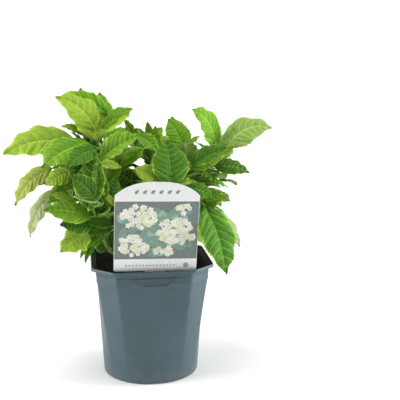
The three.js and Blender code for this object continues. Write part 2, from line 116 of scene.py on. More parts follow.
# The card's picture: its foot, top and edge on the card, its leaves, each head of flowers as place
# across, height, spread and number of flowers, the marks over and under it, and the ink.
PICTURE_FOOT, PICTURE_TOP, PICTURE_EDGE = 20.0, 112.0, 0.6
PICTURE_LEAVES = 130
FLOWER_HEADS = ((-27, 88, 22, 58), (30, 64, 25, 84), (-34, 42, 19, 46), (12, 30, 13, 18),
                (42, 103, 12, 16))
TOP_MARKS, FOOT_MARKS, INK = 124, 9.6, 0.03

# The plant: its woody foot, its limbs, how far each half of a blade curls, the gap where a shoot
# starts, the room between leaves of two shoots and of one, and the room round the rim and the card.
CROWN_X, CROWN_Y = 0.0, 6.0
CROWN_FOOT, CROWN_NECK, CROWN_HEIGHT = 22.0, 17.0, 20.0
CANE_FOOT, CANE_TIP, CANE_RING = 3.7, 2.6, 14.0
SHOOT_FOOT, SHOOT_TIP = 2.6, 1.6
CURL = math.radians(25)
CLEAR = 0.3
APART, APART_OWN = 6.0, 5.0
RIM_BESIDE, RIM_ABOVE = 4.0, 5.0
CARD_BESIDE, CARD_BEHIND = 5.0, 6.0
SEED = 2026

# The rule: where the pairs stand along a shoot, how rise, length, stalk, bend and fold change from
# its foot to its tip, in degrees and millimetres, and how much steeper a stalk is than its blade.
PAIRS = [0.1, 0.34, 0.56, 0.75, 0.9, 1.0]
RISES, LENGTHS, STALKS, BENDS, FOLDS = (8, 68), (96, 34), (18, 5), (55, 25), (10, 26)
STALK_LIFT = 15

# The same for the small leaves, with the room they leave, how far inside the box round the frame's
# leaves they stay, and how near the third nearest of those has to be.
FILLER_RISES, FILLER_LENGTHS, FILLER_STALKS = (4, 60), (84, 40), (13, 5)
FILLER_BENDS, FILLER_FOLDS = (60, 25), (12, 30)
FILLER_ON_SHOOT, FILLER_ON_LIMB = (0.04, 0.24, 0.46, 0.66, 0.83), (0.4, 0.52, 0.64, 0.77, 0.9)
FILLER_APART, EDGE_ROOM, COVER_REACH = 2.4, 14.0, 66.0

# The turn, lift and change of length that are tried, in order, until a leaf finds room.
TRIES = [(0, 0, 1), (18, 0, 1), (-18, 0, 1), (0, 16, 0.95), (0, -16, 0.9), (28, 10, 0.8),
         (-28, -10, 0.8), (0, 0, 0.68)]
FILLER_TRIES = [(0, 0, 1), (25, 0, 1), (-25, 0, 0.95), (0, 20, 0.9), (0, -20, 0.85), (50, 10, 0.8),
                (-50, 5, 0.8), (0, 0, 0.7), (30, -25, 0.65), (-30, 25, 0.6), (0, 0, 0.5)]

# The leaves' looks, in the order of their finishes, and how the leaves brighten with height, partly
# as painted light on the upper crown.
LOOKS = ("fresh", "lime", "deep", "old", "young", "under", "dry", "pale")
SHADE_HEIGHT, SHADE_REACH = 230.0, 170.0

# The rows of a leaf between two side veins and its columns on each half, for main and small leaves,
# and the edge and width of the part that is used of a leaf's cell in the map for baking.
FINE_ROWS, FINE_COLUMNS = 8, [0.05, 0.17, 0.36, 0.58, 0.79, 0.93, 1.0]
SMALL_ROWS, SMALL_COLUMNS = 6, [0.06, 0.4, 0.8, 1.0]
CELL_EDGE, CELL_WIDTH = 0.04, 0.92

# Shoots on canes of their own: name, the cane's turn round the crown, foot and tip, the turn of the
# first pair, and how far out the cane starts if it isn't on the ring.
ON_CANES = [
    ("left", 205, (-90, 2, 312), (-98, -14, 376), 0),
    ("top_left", 167, (-58, 18, 302), (-80, 8, 400), 20),
    ("front_left", 244, (-70, -52, 218), (-90, -80, 284), 150),
    ("centre", 0, (4, 4, 280), (4, 2, 346), 60, 0),
    ("centre_right", 325, (46, -22, 284), (56, -38, 346), 80),
    ("right", 3, (84, 4, 292), (104, -4, 352), 50),
    ("back_right", 48, (52, 52, 280), (62, 66, 346), 30),
    ("back", 90, (2, 56, 282), (4, 72, 352), 50),
    ("back_left", 129, (-48, 54, 284), (-58, 74, 352), 70),
]
# Shoots on side stems: name, the shoot whose limb bears it and where along that, foot and tip, the
# turn of its first pair, and the size of its leaves if they are small.
ON_SIDE_STEMS = [
    ("left_low", "left", 0.5, (-110, 16, 256), (-134, 14, 318), 15),
    ("centre_left", "front_left", 0.5, (-50, -40, 282), (-66, -48, 350), 35),
    ("right_front", "centre", 0.3, (16, -52, 250), (24, -74, 308), 55),
    ("right_low", "centre_right", 0.4, (62, -40, 228), (74, -58, 284), 75),
    ("right_back", "back_right", 0.4, (66, 58, 244), (82, 74, 300), 25, 0.72),
    ("back_low", "back", 0.4, (8, 92, 240), (12, 118, 300), 45),
    ("left_back", "back_left", 0.4, (-80, 62, 244), (-98, 82, 304), 65, 0.85),
]
SHOOTS = [dict(zip(("name", "turn", "foot", "tip", "start", "ring"), row)) for row in ON_CANES]
SHOOTS += [dict(zip(("name", "bearer", "at", "foot", "tip", "start", "size"), row))
           for row in ON_SIDE_STEMS]

# Leaves that stand out on the viewer's side: shoot, foot of the blade, bearing, rise, length,
# width over length, bend, fold, roll, finish and tone.
LEAF_KEYS = ("shoot", "base", "bearing", "rise", "length", "width", "bend", "fold", "roll", "look",
             "tone")
# Finish and tone give each leaf its own green and also paint in the light and shade that fall on it.
POSED = [
    ("top_left", (-79, -14, 375), 171, 84, 102, 0.62, 75, 15, 42, "lime", 0.25),
    ("top_left", (-80, 16, 386), 136, 76, 78, 0.8, 25, 12, 5, "dry", 0.25),
    ("top_left", (-74, 12, 390), 89, 81, 63, 0.75, 18, 15, -5, "fresh", 0.8),
    ("top_left", (-70, -4, 398), -7, 40, 54, 0.75, 20, 15, -40, "fresh", 0.8),
    ("top_left", (-68, -22, 390), -14, 46, 47, 0.66, 25, 20, -30, "young", 0.3),
    ("left", (-113, 0, 369), -172, 21, 116, 0.58, 55, 15, 40, "lime", 0.1),
    ("left", (-90, -34, 372), -150, 6, 90, 0.75, 50, 12, 25, "fresh", 0.3),
    ("left", (-100, -4, 384), -166, 48, 40, 0.6, 50, 15, 30, "young", 0.5),
    ("left_low", (-151, 5, 333), -170, -19, 84, 0.5, 50, 15, 35, "old", 0.7),
    ("left_low", (-143, 15, 297), -168, -33, 90, 0.42, 50, 15, 30, "pale", 0.2),
    ("left_low", (-114, 0, 306), -169, 30, 52, 0.6, 30, 20, 45, "lime", 0.3),
    ("front_left", (-97, -100, 288), 64, 66, 84, 0.62, -10, 25, 0, "deep", 0.1),
    ("front_left", (-66, -84, 284), 40, 66, 47, 0.62, 8, 30, 0, "deep", 0.2),
    ("front_left", (-94, -82, 272), -167, 22, 71, 0.62, 20, 10, 40, "fresh", 0.1),
    ("front_left", (-92, -80, 258), -157, 16, 51, 0.75, 20, 10, 50, "deep", 0.4),
    ("front_left", (-94, -82, 243), -158, 0, 54, 0.9, 45, 8, 42, "lime", 0),
    ("centre_left", (-76, -58, 354), -14, 41, 70, 0.68, 20, 30, -45, "fresh", 0.2),
    ("centre_left", (-50, -34, 332), -14, 50, 54, 0.7, 20, 30, -50, "fresh", 0.2),
    ("centre_left", (-60, -62, 322), -126, 65, 38, 0.7, 20, 20, 0, "lime", 0.1),
    ("centre", (-2, -2, 358), 148, 69, 42, 0.6, 15, 20, 0, "lime", 0.2),
    ("centre", (8, 6, 358), 64, 80, 40, 0.6, 15, 20, 0, "fresh", 0.9),
    ("centre", (-20, 8, 366), -151, 82, 44, 0.5, 20, 20, 0, "fresh", 0.9),
    ("centre", (12, 10, 352), 36, 56, 40, 0.6, 15, 20, 0, "lime", 0.3),
    ("centre", (8, -16, 312), 163, 71, 43, 0.6, 10, 15, 0, "deep", 0.2),
    ("centre_right", (48, -22, 366), 111, 68, 54, 0.85, 20, 15, -5, "fresh", 0.8),
    ("centre_right", (60, -58, 342), -10, 31, 62, 0.6, 10, 30, -45, "deep", 0.9),
    ("right", (106, 2, 358), -172, 98, 82, 0.85, 78, 12, 42, "fresh", 1),
    ("right", (125, 0, 360), -4, 66, 88, 0.68, 85, 8, -42, "under", 0.1),
    ("right", (101, -30, 333), -2, 16, 58, 0.62, 50, 10, -40, "deep", 0.1),
    ("right_front", (27, -88, 317), 99, 69, 71, 0.85, 8, 20, 0, "deep", 0.6),
    ("right_front", (18, -65, 312), -168, 36, 55, 0.65, 20, 20, 40, "lime", 0.1),
    ("right_front", (46, -76, 313), -13, -5, 49, 0.6, 30, 10, -40, "deep", 0.9),
    ("right_low", (78, -75, 282), -56, -49, 111, 0.58, 30, 15, -8, "deep", 1),
    ("right_low", (100, -34, 263), -14, -34, 70, 0.42, 40, 15, -30, "pale", 0.4),
    ("right_low", (72, -48, 294), -12, 4, 50, 0.6, 30, 15, -40, "fresh", 0.4),
]

# Leaves between the main ones: the shoot, then the foot and the tip as the camera sees them, across
# and down in dots of the picture, each with its depth in millimetres, then the way the face looks,
# the width, bend, fold, finish and tone.
BETWEEN_KEYS = ("shoot", "base", "tip", "facing", "width", "bend", "fold", "look", "tone")
# Finish and tone give each leaf its own green and also paint in the light and shade that fall on it.
BETWEEN = [
    ("front_left", (97, 201, -104), (70, 175, -112), (-0.1, -0.85, 0.5), 0.6, 25, 15, "deep", 0),
    ("front_left", (98, 202, -105), (72, 197, -113), (0.1, -0.9, 0.4), 0.28, 20, 10, "under", 0.8),
    ("centre_left", (100, 164, -86), (122, 168, -82), (0, -0.75, 0.65), 0.5, 20, 25, "lime", 0.1),
    ("front_left", (103, 201, -100), (97, 168, -92), (0.3, -0.9, 0.2), 0.45, 20, 25, "deep", 0.2),
    ("front_left", (110, 207, -94), (117, 177, -86), (-0.25, -0.95, 0.1), 0.62, 15, 25, "deep", 0.6),
    ("front_left", (115, 206, -97), (101, 192, -101), (0, -0.9, 0.4), 0.32, 30, 10, "lime", 0.6),
    ("centre_left", (107, 184, -80), (122, 166, -72), (-0.3, -0.85, 0.4), 0.6, 20, 25, "fresh", 0.5),
    ("front_left", (112, 225, -76), (87, 224, -86), (0, -0.8, 0.6), 0.5, 30, 15, "deep", 0.5),
    ("front_left", (112, 229, -72), (90, 235, -80), (0, -0.8, 0.6), 0.45, 30, 15, "deep", 0.3),
    ("front_left", (103, 238, -66), (80, 247, -80), (0, -0.8, 0.6), 0.6, 40, 15, "fresh", 0.2),
    ("front_left", (90, 241, -76), (80, 259, -82), (0.2, -0.9, 0.3), 0.3, 20, 25, "fresh", 0.3),
    ("front_left", (76, 203, -66), (50, 195, -76), (0.1, -0.6, 0.8), 0.5, 30, 12, "lime", 0),
    ("left_low", (72, 172, -34), (45, 186, -42), (0.1, -0.7, 0.7), 0.72, 30, 12, "lime", 0.1),
    ("front_left", (112, 248, -30), (110, 221, -44), (0, -0.9, 0.4), 0.75, 20, 12, "deep", 0),
    ("left_low", (66, 190, -20), (48, 203, -30), (0, -0.9, 0.4), 0.75, 20, 12, "fresh", 0.1),
    ("centre", (138, 135, -30), (159, 153, -46), (0.2, -0.8, 0.55), 0.62, 30, 20, "fresh", 0.5),
    ("centre", (143, 149, -52), (119, 168, -64), (0.1, -0.9, 0.4), 0.5, 20, 35, "fresh", 0.9),
    ("right_front", (163, 184, -80), (134, 169, -88), (0.2, -0.85, 0.5), 0.72, 25, 15, "lime", 0),
    ("right_front", (165, 188, -84), (195, 181, -82), (0, -0.7, 0.7), 0.42, 30, 15, "lime", 0),
    ("centre_right", (192, 169, -52), (227, 153, -58), (-0.1, -0.85, 0.5), 0.5, 20, 20, "lime", 0),
    ("centre_right", (184, 149, -26), (168, 119, -10), (0.1, -0.9, 0.4), 0.78, 20, 15, "fresh", 0.4),
    ("right", (222, 158, 4), (238, 126, 6), (-0.2, -0.9, 0.3), 0.5, 30, 20, "under", 0.5),
    ("centre", (133, 141, -6), (124, 118, -4), (0.3, -0.9, 0.3), 0.4, 15, 30, "fresh", 0.9),
    ("left", (86, 150, -30), (62, 143, -42), (0.1, -0.8, 0.5), 0.55, 30, 15, "lime", 0.9),
    ("top_left", (107, 113, 4), (64, 93, 2), (0.1, -0.9, 0.4), 0.5, 20, 12, "fresh", 0.8),
    ("top_left", (102, 128, -16), (124, 114, -24), (-0.1, -0.8, 0.6), 0.55, 20, 15, "fresh", 0.1),
    ("left", (97, 148, -66), (66, 167, -86), (0, -0.8, 0.6), 0.6, 30, 15, "deep", 0.9),
    ("centre_left", (142, 192, -30), (117, 172, -34), (0, -0.9, 0.4), 0.9, 15, 12, "deep", 0.1),
    ("centre", (156, 190, -22), (130, 172, -20), (0, -0.9, 0.4), 0.9, 15, 12, "deep", 0.2),
    ("front_left", (112, 226, -30), (118, 203, -34), (0, -0.9, 0.4), 0.9, 15, 12, "deep", 0),
    ("front_left", (108, 250, -52), (94, 240, -58), (0, -0.9, 0.4), 0.9, 15, 12, "deep", 0.2),
    ("right_low", (198, 217, -40), (210, 196, -44), (0, -0.9, 0.4), 0.9, 15, 12, "deep", 0),
    ("centre", (150, 141, -4), (147, 121, 4), (0, -0.9, 0.4), 0.45, 15, 30, "fresh", 0.8),
    ("front_left", (104, 226, -60), (87, 247, -88), (0, -0.7, 0.7), 0.62, 50, 18, "deep", 0.5),
    ("front_left", (101, 233, -58), (85, 263, -80), (-0.2, -0.8, 0.6), 0.34, 35, 30, "deep", 0.8),
    ("front_left", (103, 240, -44), (112, 208, -58), (-0.9, -0.5, 0), 0.62, 20, 20, "deep", 0.2),
    ("front_left", (100, 214, -60), (100, 182, -60), (-0.2, -1, 0), 0.7, 15, 20, "deep", 0.1),
    ("front_left", (98, 222, -66), (76, 208, -84), (0.7, -0.6, 0.5), 0.62, 30, 20, "fresh", 0.3),
    ("centre_left", (112, 200, -40), (128, 180, -50), (-0.6, -0.8, 0.2), 0.7, 20, 20, "deep", 0.2),
    ("right_low", (204, 214, -66), (220, 200, -76), (-0.7, -0.7, 0.4), 0.6, 25, 25, "fresh", 0.4),
]
# The posed leaf that is torn, and how far its halves are eaten in.
TORN_LEAF, TORN_SHARE = 15, 0.55
# The rule's leaves that would stand against the sky, by their number among the frame's leaves.
IN_THE_SKY = (40, 48, 56, 58, 91, 104)
# The gap between the centre shoots: its dot in the picture, its nearest and furthest depth and half
# its width. Then how far out a small leaf may stand below a height.
GAP_SEEN, GAP_FRONT, GAP_BACK = (141, 162), -90, 140
GAP_ROOM, LOW_REACH, LOW_HEIGHT = 5.0, 108.0, 300.0


def mix(a, b, t):
    """The value some of the way from one to another."""
    return a + (b - a) * t


def unit(v):
    return v / np.linalg.norm(v)


def smooth(low, high, x):
    """0 below low, 1 above high, and a smooth rise between."""
    t = np.clip((x - low) / (high - low), 0, 1)
    return t * t * (3 - 2 * t)


def level_axes(turn):
    """The level way out at a turn, and the level way to the right of it."""
    out = np.array([math.cos(turn), math.sin(turn), 0.0])
    return out, np.array([out[1], -out[0], 0.0])


def heading(bearing, rise):
    """The way that points along a bearing and climbs by a rise, both in degrees."""
    turn, lift = math.radians(bearing), math.radians(rise)
    level, _ = level_axes(turn)
    return np.array([math.cos(lift) * level[0], math.cos(lift) * level[1], math.sin(lift)])


def seeded(seed):
    """Numbers from 0 to 1, the same on every run."""
    state = seed & 0xFFFFFFFF

    def number():
        nonlocal state
        state = (state * 1664525 + 1013904223) & 0xFFFFFFFF
        return state / 4294967296

    return number


def outline(s):
    """Half of a leaf's width along its length, widest below the middle."""
    s = np.clip(s, 1e-9, 1 - 1e-9)
    return np.sin(np.pi * s**0.8) ** 0.85 * (1 - 0.12 * s)


def leaf_axes(leaf, s):
    """A blade's level way out and up, then its slope, way across and normal at s along its midrib."""
    slope = math.radians(leaf["rise"]) - math.radians(leaf["bend"]) * s
    out, side = level_axes(math.radians(leaf["bearing"]))
    up = np.array([0.0, 0.0, 1.0])
    lift = -np.sin(slope)[..., None] * out + np.cos(slope)[..., None] * up
    roll = math.radians(leaf["roll"])
    across = np.cos(roll) * side + np.sin(roll) * lift
    normal = -np.sin(roll) * side + np.cos(roll) * lift
    return out, up, slope, across, normal


def blade(leaf, s, u, widths=None):
    """Points and normals of a blade: s from its foot to its tip, u from -1 to 1 across."""
    s, u = np.broadcast_arrays(np.asarray(s, float), np.asarray(u, float))
    out, up, slope, across, normal = leaf_axes(leaf, s)
    bend = math.radians(leaf["bend"])
    rise = math.radians(leaf["rise"])
    fold = math.radians(leaf["fold"])
    turned = fold - CURL * np.abs(u)
    half = 0.5 * leaf["width"] * leaf["length"] * (outline(s) if widths is None else widths)
    points = (
        np.array(leaf["base"], float)
        + (leaf["length"] / bend * (math.sin(rise) - np.sin(slope)))[..., None] * out
        + (leaf["length"] / bend * (np.cos(slope) - math.cos(rise)))[..., None] * up
        + (np.sign(u) * half * (math.sin(fold) - np.sin(turned)) / CURL)[..., None] * across
        + (half * (np.cos(turned) - math.cos(fold)) / CURL)[..., None] * normal
    )
    tilt = turned * np.sign(u)
    facing = np.cos(tilt)[..., None] * normal - np.sin(tilt)[..., None] * across
    return points, facing


SAMPLE_S = (np.arange(1, 15) / 14)[:, None]
SAMPLE_U = (np.arange(-3, 4) / 3)[None, :]


def sampled(leaf, line):
    """A leaf with points over its blade, and those with its stalk's, and the box round them."""
    spots = blade(leaf, SAMPLE_S, SAMPLE_U)[0].reshape(-1, 3)
    begin, base = stalk_ends(leaf, line)
    stalk = begin + (base - begin) * (np.arange(6) / 5)[:, None]
    every = np.vstack([spots, stalk])
    return dict(leaf=leaf, blade=spots, all=every, low=every.min(0), high=every.max(0))


def stalk_ends(leaf, line):
    """Where a leaf's stalk leaves the line of its shoot, and the foot of the blade."""
    foot, tip = line
    along = unit(tip - foot)
    reach = np.array(leaf["base"], float) - foot
    up = reach @ along
    out = np.linalg.norm(reach - along * up)
    t = min(0.97, max(0.06, (up - 0.7 * out) / np.linalg.norm(tip - foot)))
    return foot + (tip - foot) * t, np.array(leaf["base"], float)


def apart(some, others, gap):
    """Whether every point of one set is further than the gap from every one of the others."""
    low, high = some.min(0) - gap, some.max(0) + gap
    close = others[((others > low) & (others < high)).all(1)]
    if len(close) == 0:
        return True
    return ((some[:, None, :] - close[None, :, :]) ** 2).sum(-1).min() > gap * gap


def room_for(tried, placed, limb_spots, line_spots, gap=APART, own_gap=APART_OWN):
    """Whether a leaf clears the pot, the card, the limbs and the leaves placed so far."""
    if not (clear_of_pot(tried["blade"]) and clear_of_card(tried["blade"])):
        return False
    if not (apart(tried["blade"], limb_spots, gap + 1)
            and apart(tried["all"], line_spots, gap + 1)):
        return False
    for other in placed:
        same = other["leaf"]["shoot"] == tried["leaf"]["shoot"]
        reach = own_gap if same else gap
        beyond = (other["low"] > tried["high"] + reach).any()
        if beyond or (other["high"] < tried["low"] - reach).any():
            continue
        part = "blade" if same else "all"
        if not apart(tried[part], other[part], reach):
            return False
    return True


def pot_sides(turn, half):
    """How far from the axis the pot's flat sides and its corner facets lie, along a turn."""
    c, s = np.abs(np.cos(turn)), np.abs(np.sin(turn))
    return half / np.maximum(c, s), half * (1 + FLAT_SHARE) / (c + s)


def clear_of_pot(spots):
    """Whether every point is clear of the pot's rim, beside it or above it."""
    turn = np.arctan2(spots[:, 1], spots[:, 0])
    rim = np.minimum(*pot_sides(turn, LIP_HALF)) + RIM_BESIDE
    in_rim = np.hypot(spots[:, 0], spots[:, 1]) < rim
    return not np.any(in_rim & (spots[:, 2] < POT_HEIGHT + RIM_ABOVE))


def clear_of_card(spots):
    """Whether every point is behind the card, beside it or above it."""
    behind = spots[:, 1] - (CARD_FOOT_Y - (spots[:, 2] - CARD_FOOT) * math.tan(CARD_LEAN))
    across = spots[:, 0] - CARD_X - (spots[:, 2] - STAKE_BREAK) * math.tan(CARD_TILT)
    beside = np.abs(across) > CARD_WIDTH / 2 + CARD_BESIDE
    above = spots[:, 2] > CARD_TOP + CARD_BESIDE
    return bool(np.all(beside | above | (behind > CARD_BEHIND)))


def shoot_line(shoot):
    """A shoot's foot and tip."""
    return np.array(shoot["foot"], float), np.array(shoot["tip"], float)


def bezier(points, t):
    """Places along a cubic curve."""
    a, b, c, d = points
    t = np.asarray(t, float)[..., None]
    return (1 - t) ** 3 * a + 3 * (1 - t) ** 2 * t * b + 3 * (1 - t) * t * t * c + t**3 * d


def limb_points(shoot, limbs):
    """The four points of the cubic curve of the limb under a shoot."""
    foot, tip = shoot_line(shoot)
    along = unit(tip - foot)
    end = foot - along * CLEAR / 2
    if "bearer" in shoot:
        bearer = limbs[shoot["bearer"]]
        begin = bezier(bearer, shoot["at"])
        way = unit(bezier(bearer, shoot["at"] + 1e-4) - bezier(bearer, shoot["at"] - 1e-4))
        leave = unit(way + unit(end - begin))
    else:
        ring = shoot.get("ring", CANE_RING)
        out, _ = level_axes(math.radians(shoot["turn"]))
        begin = np.array([CROWN_X, CROWN_Y, SOIL_TOP + CROWN_HEIGHT - 6]) + out * ring
        leave = unit(np.array([0, 0, 1.0]) + out * ring / CANE_RING * 0.55)
    reach = np.linalg.norm(end - begin)
    return [begin, begin + 0.35 * reach * leave, end - 0.35 * reach * along, end]


def rule_leaves(shoot, index):
    """Opposite pairs, each a quarter turn from the last, large and spread low on the shoot."""
    foot, tip = shoot_line(shoot)
    leaves = []
    for pair, at in enumerate(PAIRS):
        for opposite in range(2):
            random = seeded(SEED + 97 * index + 13 * pair + 5 * opposite)
            random()
            level = pair / (len(PAIRS) - 1)
            bearing = shoot["start"] + 90 * pair + 180 * opposite + 24 * (random() - 0.5)
            rise = mix(*RISES, level) + 14 * (random() - 0.5)
            length = mix(*LENGTHS, level**1.3) * (0.88 + 0.24 * random()) * shoot.get("size", 1)
            stalk = mix(*STALKS, level) * heading(bearing, rise + STALK_LIFT)
            base = foot + (tip - foot) * at + stalk
            width = 0.6 + 0.08 * random()
            leaves.append(dict(shoot=shoot["name"], base=base, bearing=bearing, rise=rise,
                               length=length, width=width, bend=mix(*BENDS, level),
                               fold=mix(*FOLDS, level), roll=20 * (random() - 0.5)))
    return leaves


def altered(leaf, line, turn, lift, scale):
    """A leaf sampled after a change of its bearing, rise and length."""
    return sampled(dict(leaf, bearing=leaf["bearing"] + turn, rise=leaf["rise"] + lift,
                        length=leaf["length"] * scale), line)


def other_shoots(lines, name):
    """Points along the lines of every shoot but one."""
    along = (np.arange(11) / 10)[:, None]
    return np.vstack([line[0] + (line[1] - line[0]) * along
                      for other, line in lines.items() if other != name])


def grow(limbs):
    """The frame's leaves: the posed ones, then each rule leaf that finds room."""
    limb_spots = np.vstack([bezier(points, np.arange(25) / 24) for points in limbs.values()])
    lines = {shoot["name"]: shoot_line(shoot) for shoot in SHOOTS}
    placed = [sampled(dict(zip(LEAF_KEYS, row)), lines[row[0]]) for row in POSED]
    for index, shoot in enumerate(SHOOTS):
        name = shoot["name"]
        line_spots = other_shoots(lines, name)
        for first in rule_leaves(shoot, index):
            for change in TRIES:
                tried = altered(first, lines[name], *change)
                if room_for(tried, placed, limb_spots, line_spots):
                    placed.append(tried)
                    break
    return placed, limb_spots, lines


def filler_leaves(shoot, index, limbs):
    """Smaller leaves between the pairs of a shoot and on the upper part of its limb."""
    foot, tip = shoot_line(shoot)
    random = seeded(SEED * 3 + 131 * index)
    random()
    spots = [(foot + (tip - foot) * at, at) for at in FILLER_ON_SHOOT]
    spots += [(bezier(limbs[shoot["name"]], at), 0.0) for at in FILLER_ON_LIMB]
    leaves = []
    for pair, (spot, level) in enumerate(spots):
        for opposite in range(3):
            bearing = shoot["start"] + 45 + 90 * pair + 120 * opposite + 50 * (random() - 0.5)
            rise = mix(*FILLER_RISES, level) + 24 * (random() - 0.5)
            length = mix(*FILLER_LENGTHS, level) * (0.8 + 0.4 * random()) * shoot.get("size", 1)
            base = spot + mix(*FILLER_STALKS, level) * heading(bearing, rise + STALK_LIFT)
            leaves.append(dict(shoot=shoot["name"], base=base, bearing=bearing, rise=rise,
                               length=length, width=0.58 + 0.1 * random(),
                               bend=mix(*FILLER_BENDS, level), fold=mix(*FILLER_FOLDS, level),
                               roll=30 * (random() - 0.5), root=spot))
    return leaves


def young_leaves(shoot, index):
    """Two pairs of small leaves still folded round the bud at a shoot's tip."""
    tip = shoot_line(shoot)[1]
    random = seeded(SEED * 5 + 17 * index)
    random()
    leaves = []
    for pair in range(2):
        for opposite in range(2):
            bearing = shoot["start"] + 45 + 90 * pair + 180 * opposite + 30 * (random() - 0.5)
            turn = math.radians(bearing)
            base = tip + np.array([math.cos(turn), math.sin(turn), 0.6]) * (2.6 - pair)
            rise = 74 + 8 * random()
            length = (25, 15)[pair] * (0.85 + 0.3 * random())
            leaves.append(dict(shoot=shoot["name"], base=base, bearing=bearing, rise=rise,
                               length=length, width=0.5, bend=12 + 10 * random(), fold=48,
                               roll=0.0, root=tip, young=True))
    return leaves


def seen_at(across, down, depth):
    """The place, in millimetres, that shows at a dot of the camera's picture at one depth."""
    ahead = unit(np.subtract(CAMERA_AIM, CAMERA_PLACE))
    right = unit(np.cross(ahead, (0, 0, 1)))
    above = np.cross(right, ahead)
    dots = CAMERA_LENS / SENSOR_WIDTH * PICTURE_DOTS
    ray = dots * ahead + (across - PICTURE_DOTS / 2) * right - (down - PICTURE_DOTS / 2) * above
    eye = np.array(CAMERA_PLACE) / MM
    return eye + ray * (depth - eye[1]) / ray[1]


def spanned(leaf):
    """A leaf that is given by its foot, tip and facing, in the terms of the frame's leaves."""
    base, facing = seen_at(*leaf["base"]), np.array(leaf["facing"])
    span = seen_at(*leaf["tip"]) - base
    reach, half = np.linalg.norm(span), math.radians(leaf["bend"]) / 2
    turn, slope = math.atan2(span[1], span[0]), math.asin(span[2] / reach)
    out, side = level_axes(turn)
    lift = np.array([0.0, 0.0, math.cos(slope)]) - math.sin(slope) * out
    roll = math.atan2(-side @ facing, lift @ facing)
    return dict(leaf, base=base, bearing=math.degrees(turn), rise=math.degrees(slope + half),
                length=reach * half / math.sin(half), roll=math.degrees(roll))


def shuts_gap(leaf):
    """Whether a leaf stands in the gap between the centre shoots or hangs out low at the side."""
    front = seen_at(*GAP_SEEN, GAP_FRONT)
    along = unit(seen_at(*GAP_SEEN, GAP_BACK) - front)
    off = leaf["blade"] - front
    away = np.linalg.norm(off - np.outer(off @ along, along), axis=1)
    middle = leaf["blade"].mean(0)
    return (away < GAP_ROOM).any() or (middle[2] < LOW_HEIGHT
                                       and math.hypot(middle[0], middle[1]) > LOW_REACH)


def grow_finer(limbs):
    """The frame's leaves, then smaller ones in the room between them, then those at the tips."""
    placed, limb_spots, lines = grow(limbs)
    placed[TORN_LEAF]["leaf"]["torn"] = TORN_SHARE
    for each in placed:
        each["leaf"]["root"] = stalk_ends(each["leaf"], lines[each["leaf"]["shoot"]])[0]
    low = np.min([each["low"] for each in placed], axis=0)
    high = np.max([each["high"] for each in placed], axis=0)
    centres = np.array([each["blade"].mean(0) for each in placed])
    placed = [each for number, each in enumerate(placed) if number not in IN_THE_SKY]
    for row in BETWEEN:
        leaf = spanned(dict(zip(BETWEEN_KEYS, row)))
        placed.append(sampled(leaf, lines[row[0]]))
        leaf["root"] = stalk_ends(leaf, lines[row[0]])[0]
    low, high = low + EDGE_ROOM, high - EDGE_ROOM
    for index, shoot in enumerate(SHOOTS):
        line_spots = other_shoots(lines, shoot["name"])
        for leaf in filler_leaves(shoot, index, limbs):
            for change in FILLER_TRIES:
                tried = altered(leaf, lines[shoot["name"]], *change)
                inside = (tried["low"] > low).all() and (tried["high"] < high).all()
                away = np.linalg.norm(centres - tried["blade"].mean(0), axis=1)
                covered = np.sort(away)[2] < COVER_REACH
                if (inside and covered and not shuts_gap(tried)
                        and room_for(tried, placed, limb_spots, line_spots, FILLER_APART,
                                     FILLER_APART)):
                    tried["leaf"]["filler"] = True
                    placed.append(tried)
                    break
    leaves = [each["leaf"] for each in placed]
    for index, shoot in enumerate(SHOOTS):
        leaves += young_leaves(shoot, index)
    return leaves


# Leaf meshes.

def cells_of(grid, turned):
    """The four corners of each cell of a grid, in order round it, one way or the other."""
    ring = [grid[:-1, :-1], grid[:-1, 1:], grid[1:, 1:], grid[1:, :-1]]
    return np.stack(ring[::-1] if turned else ring, axis=2)


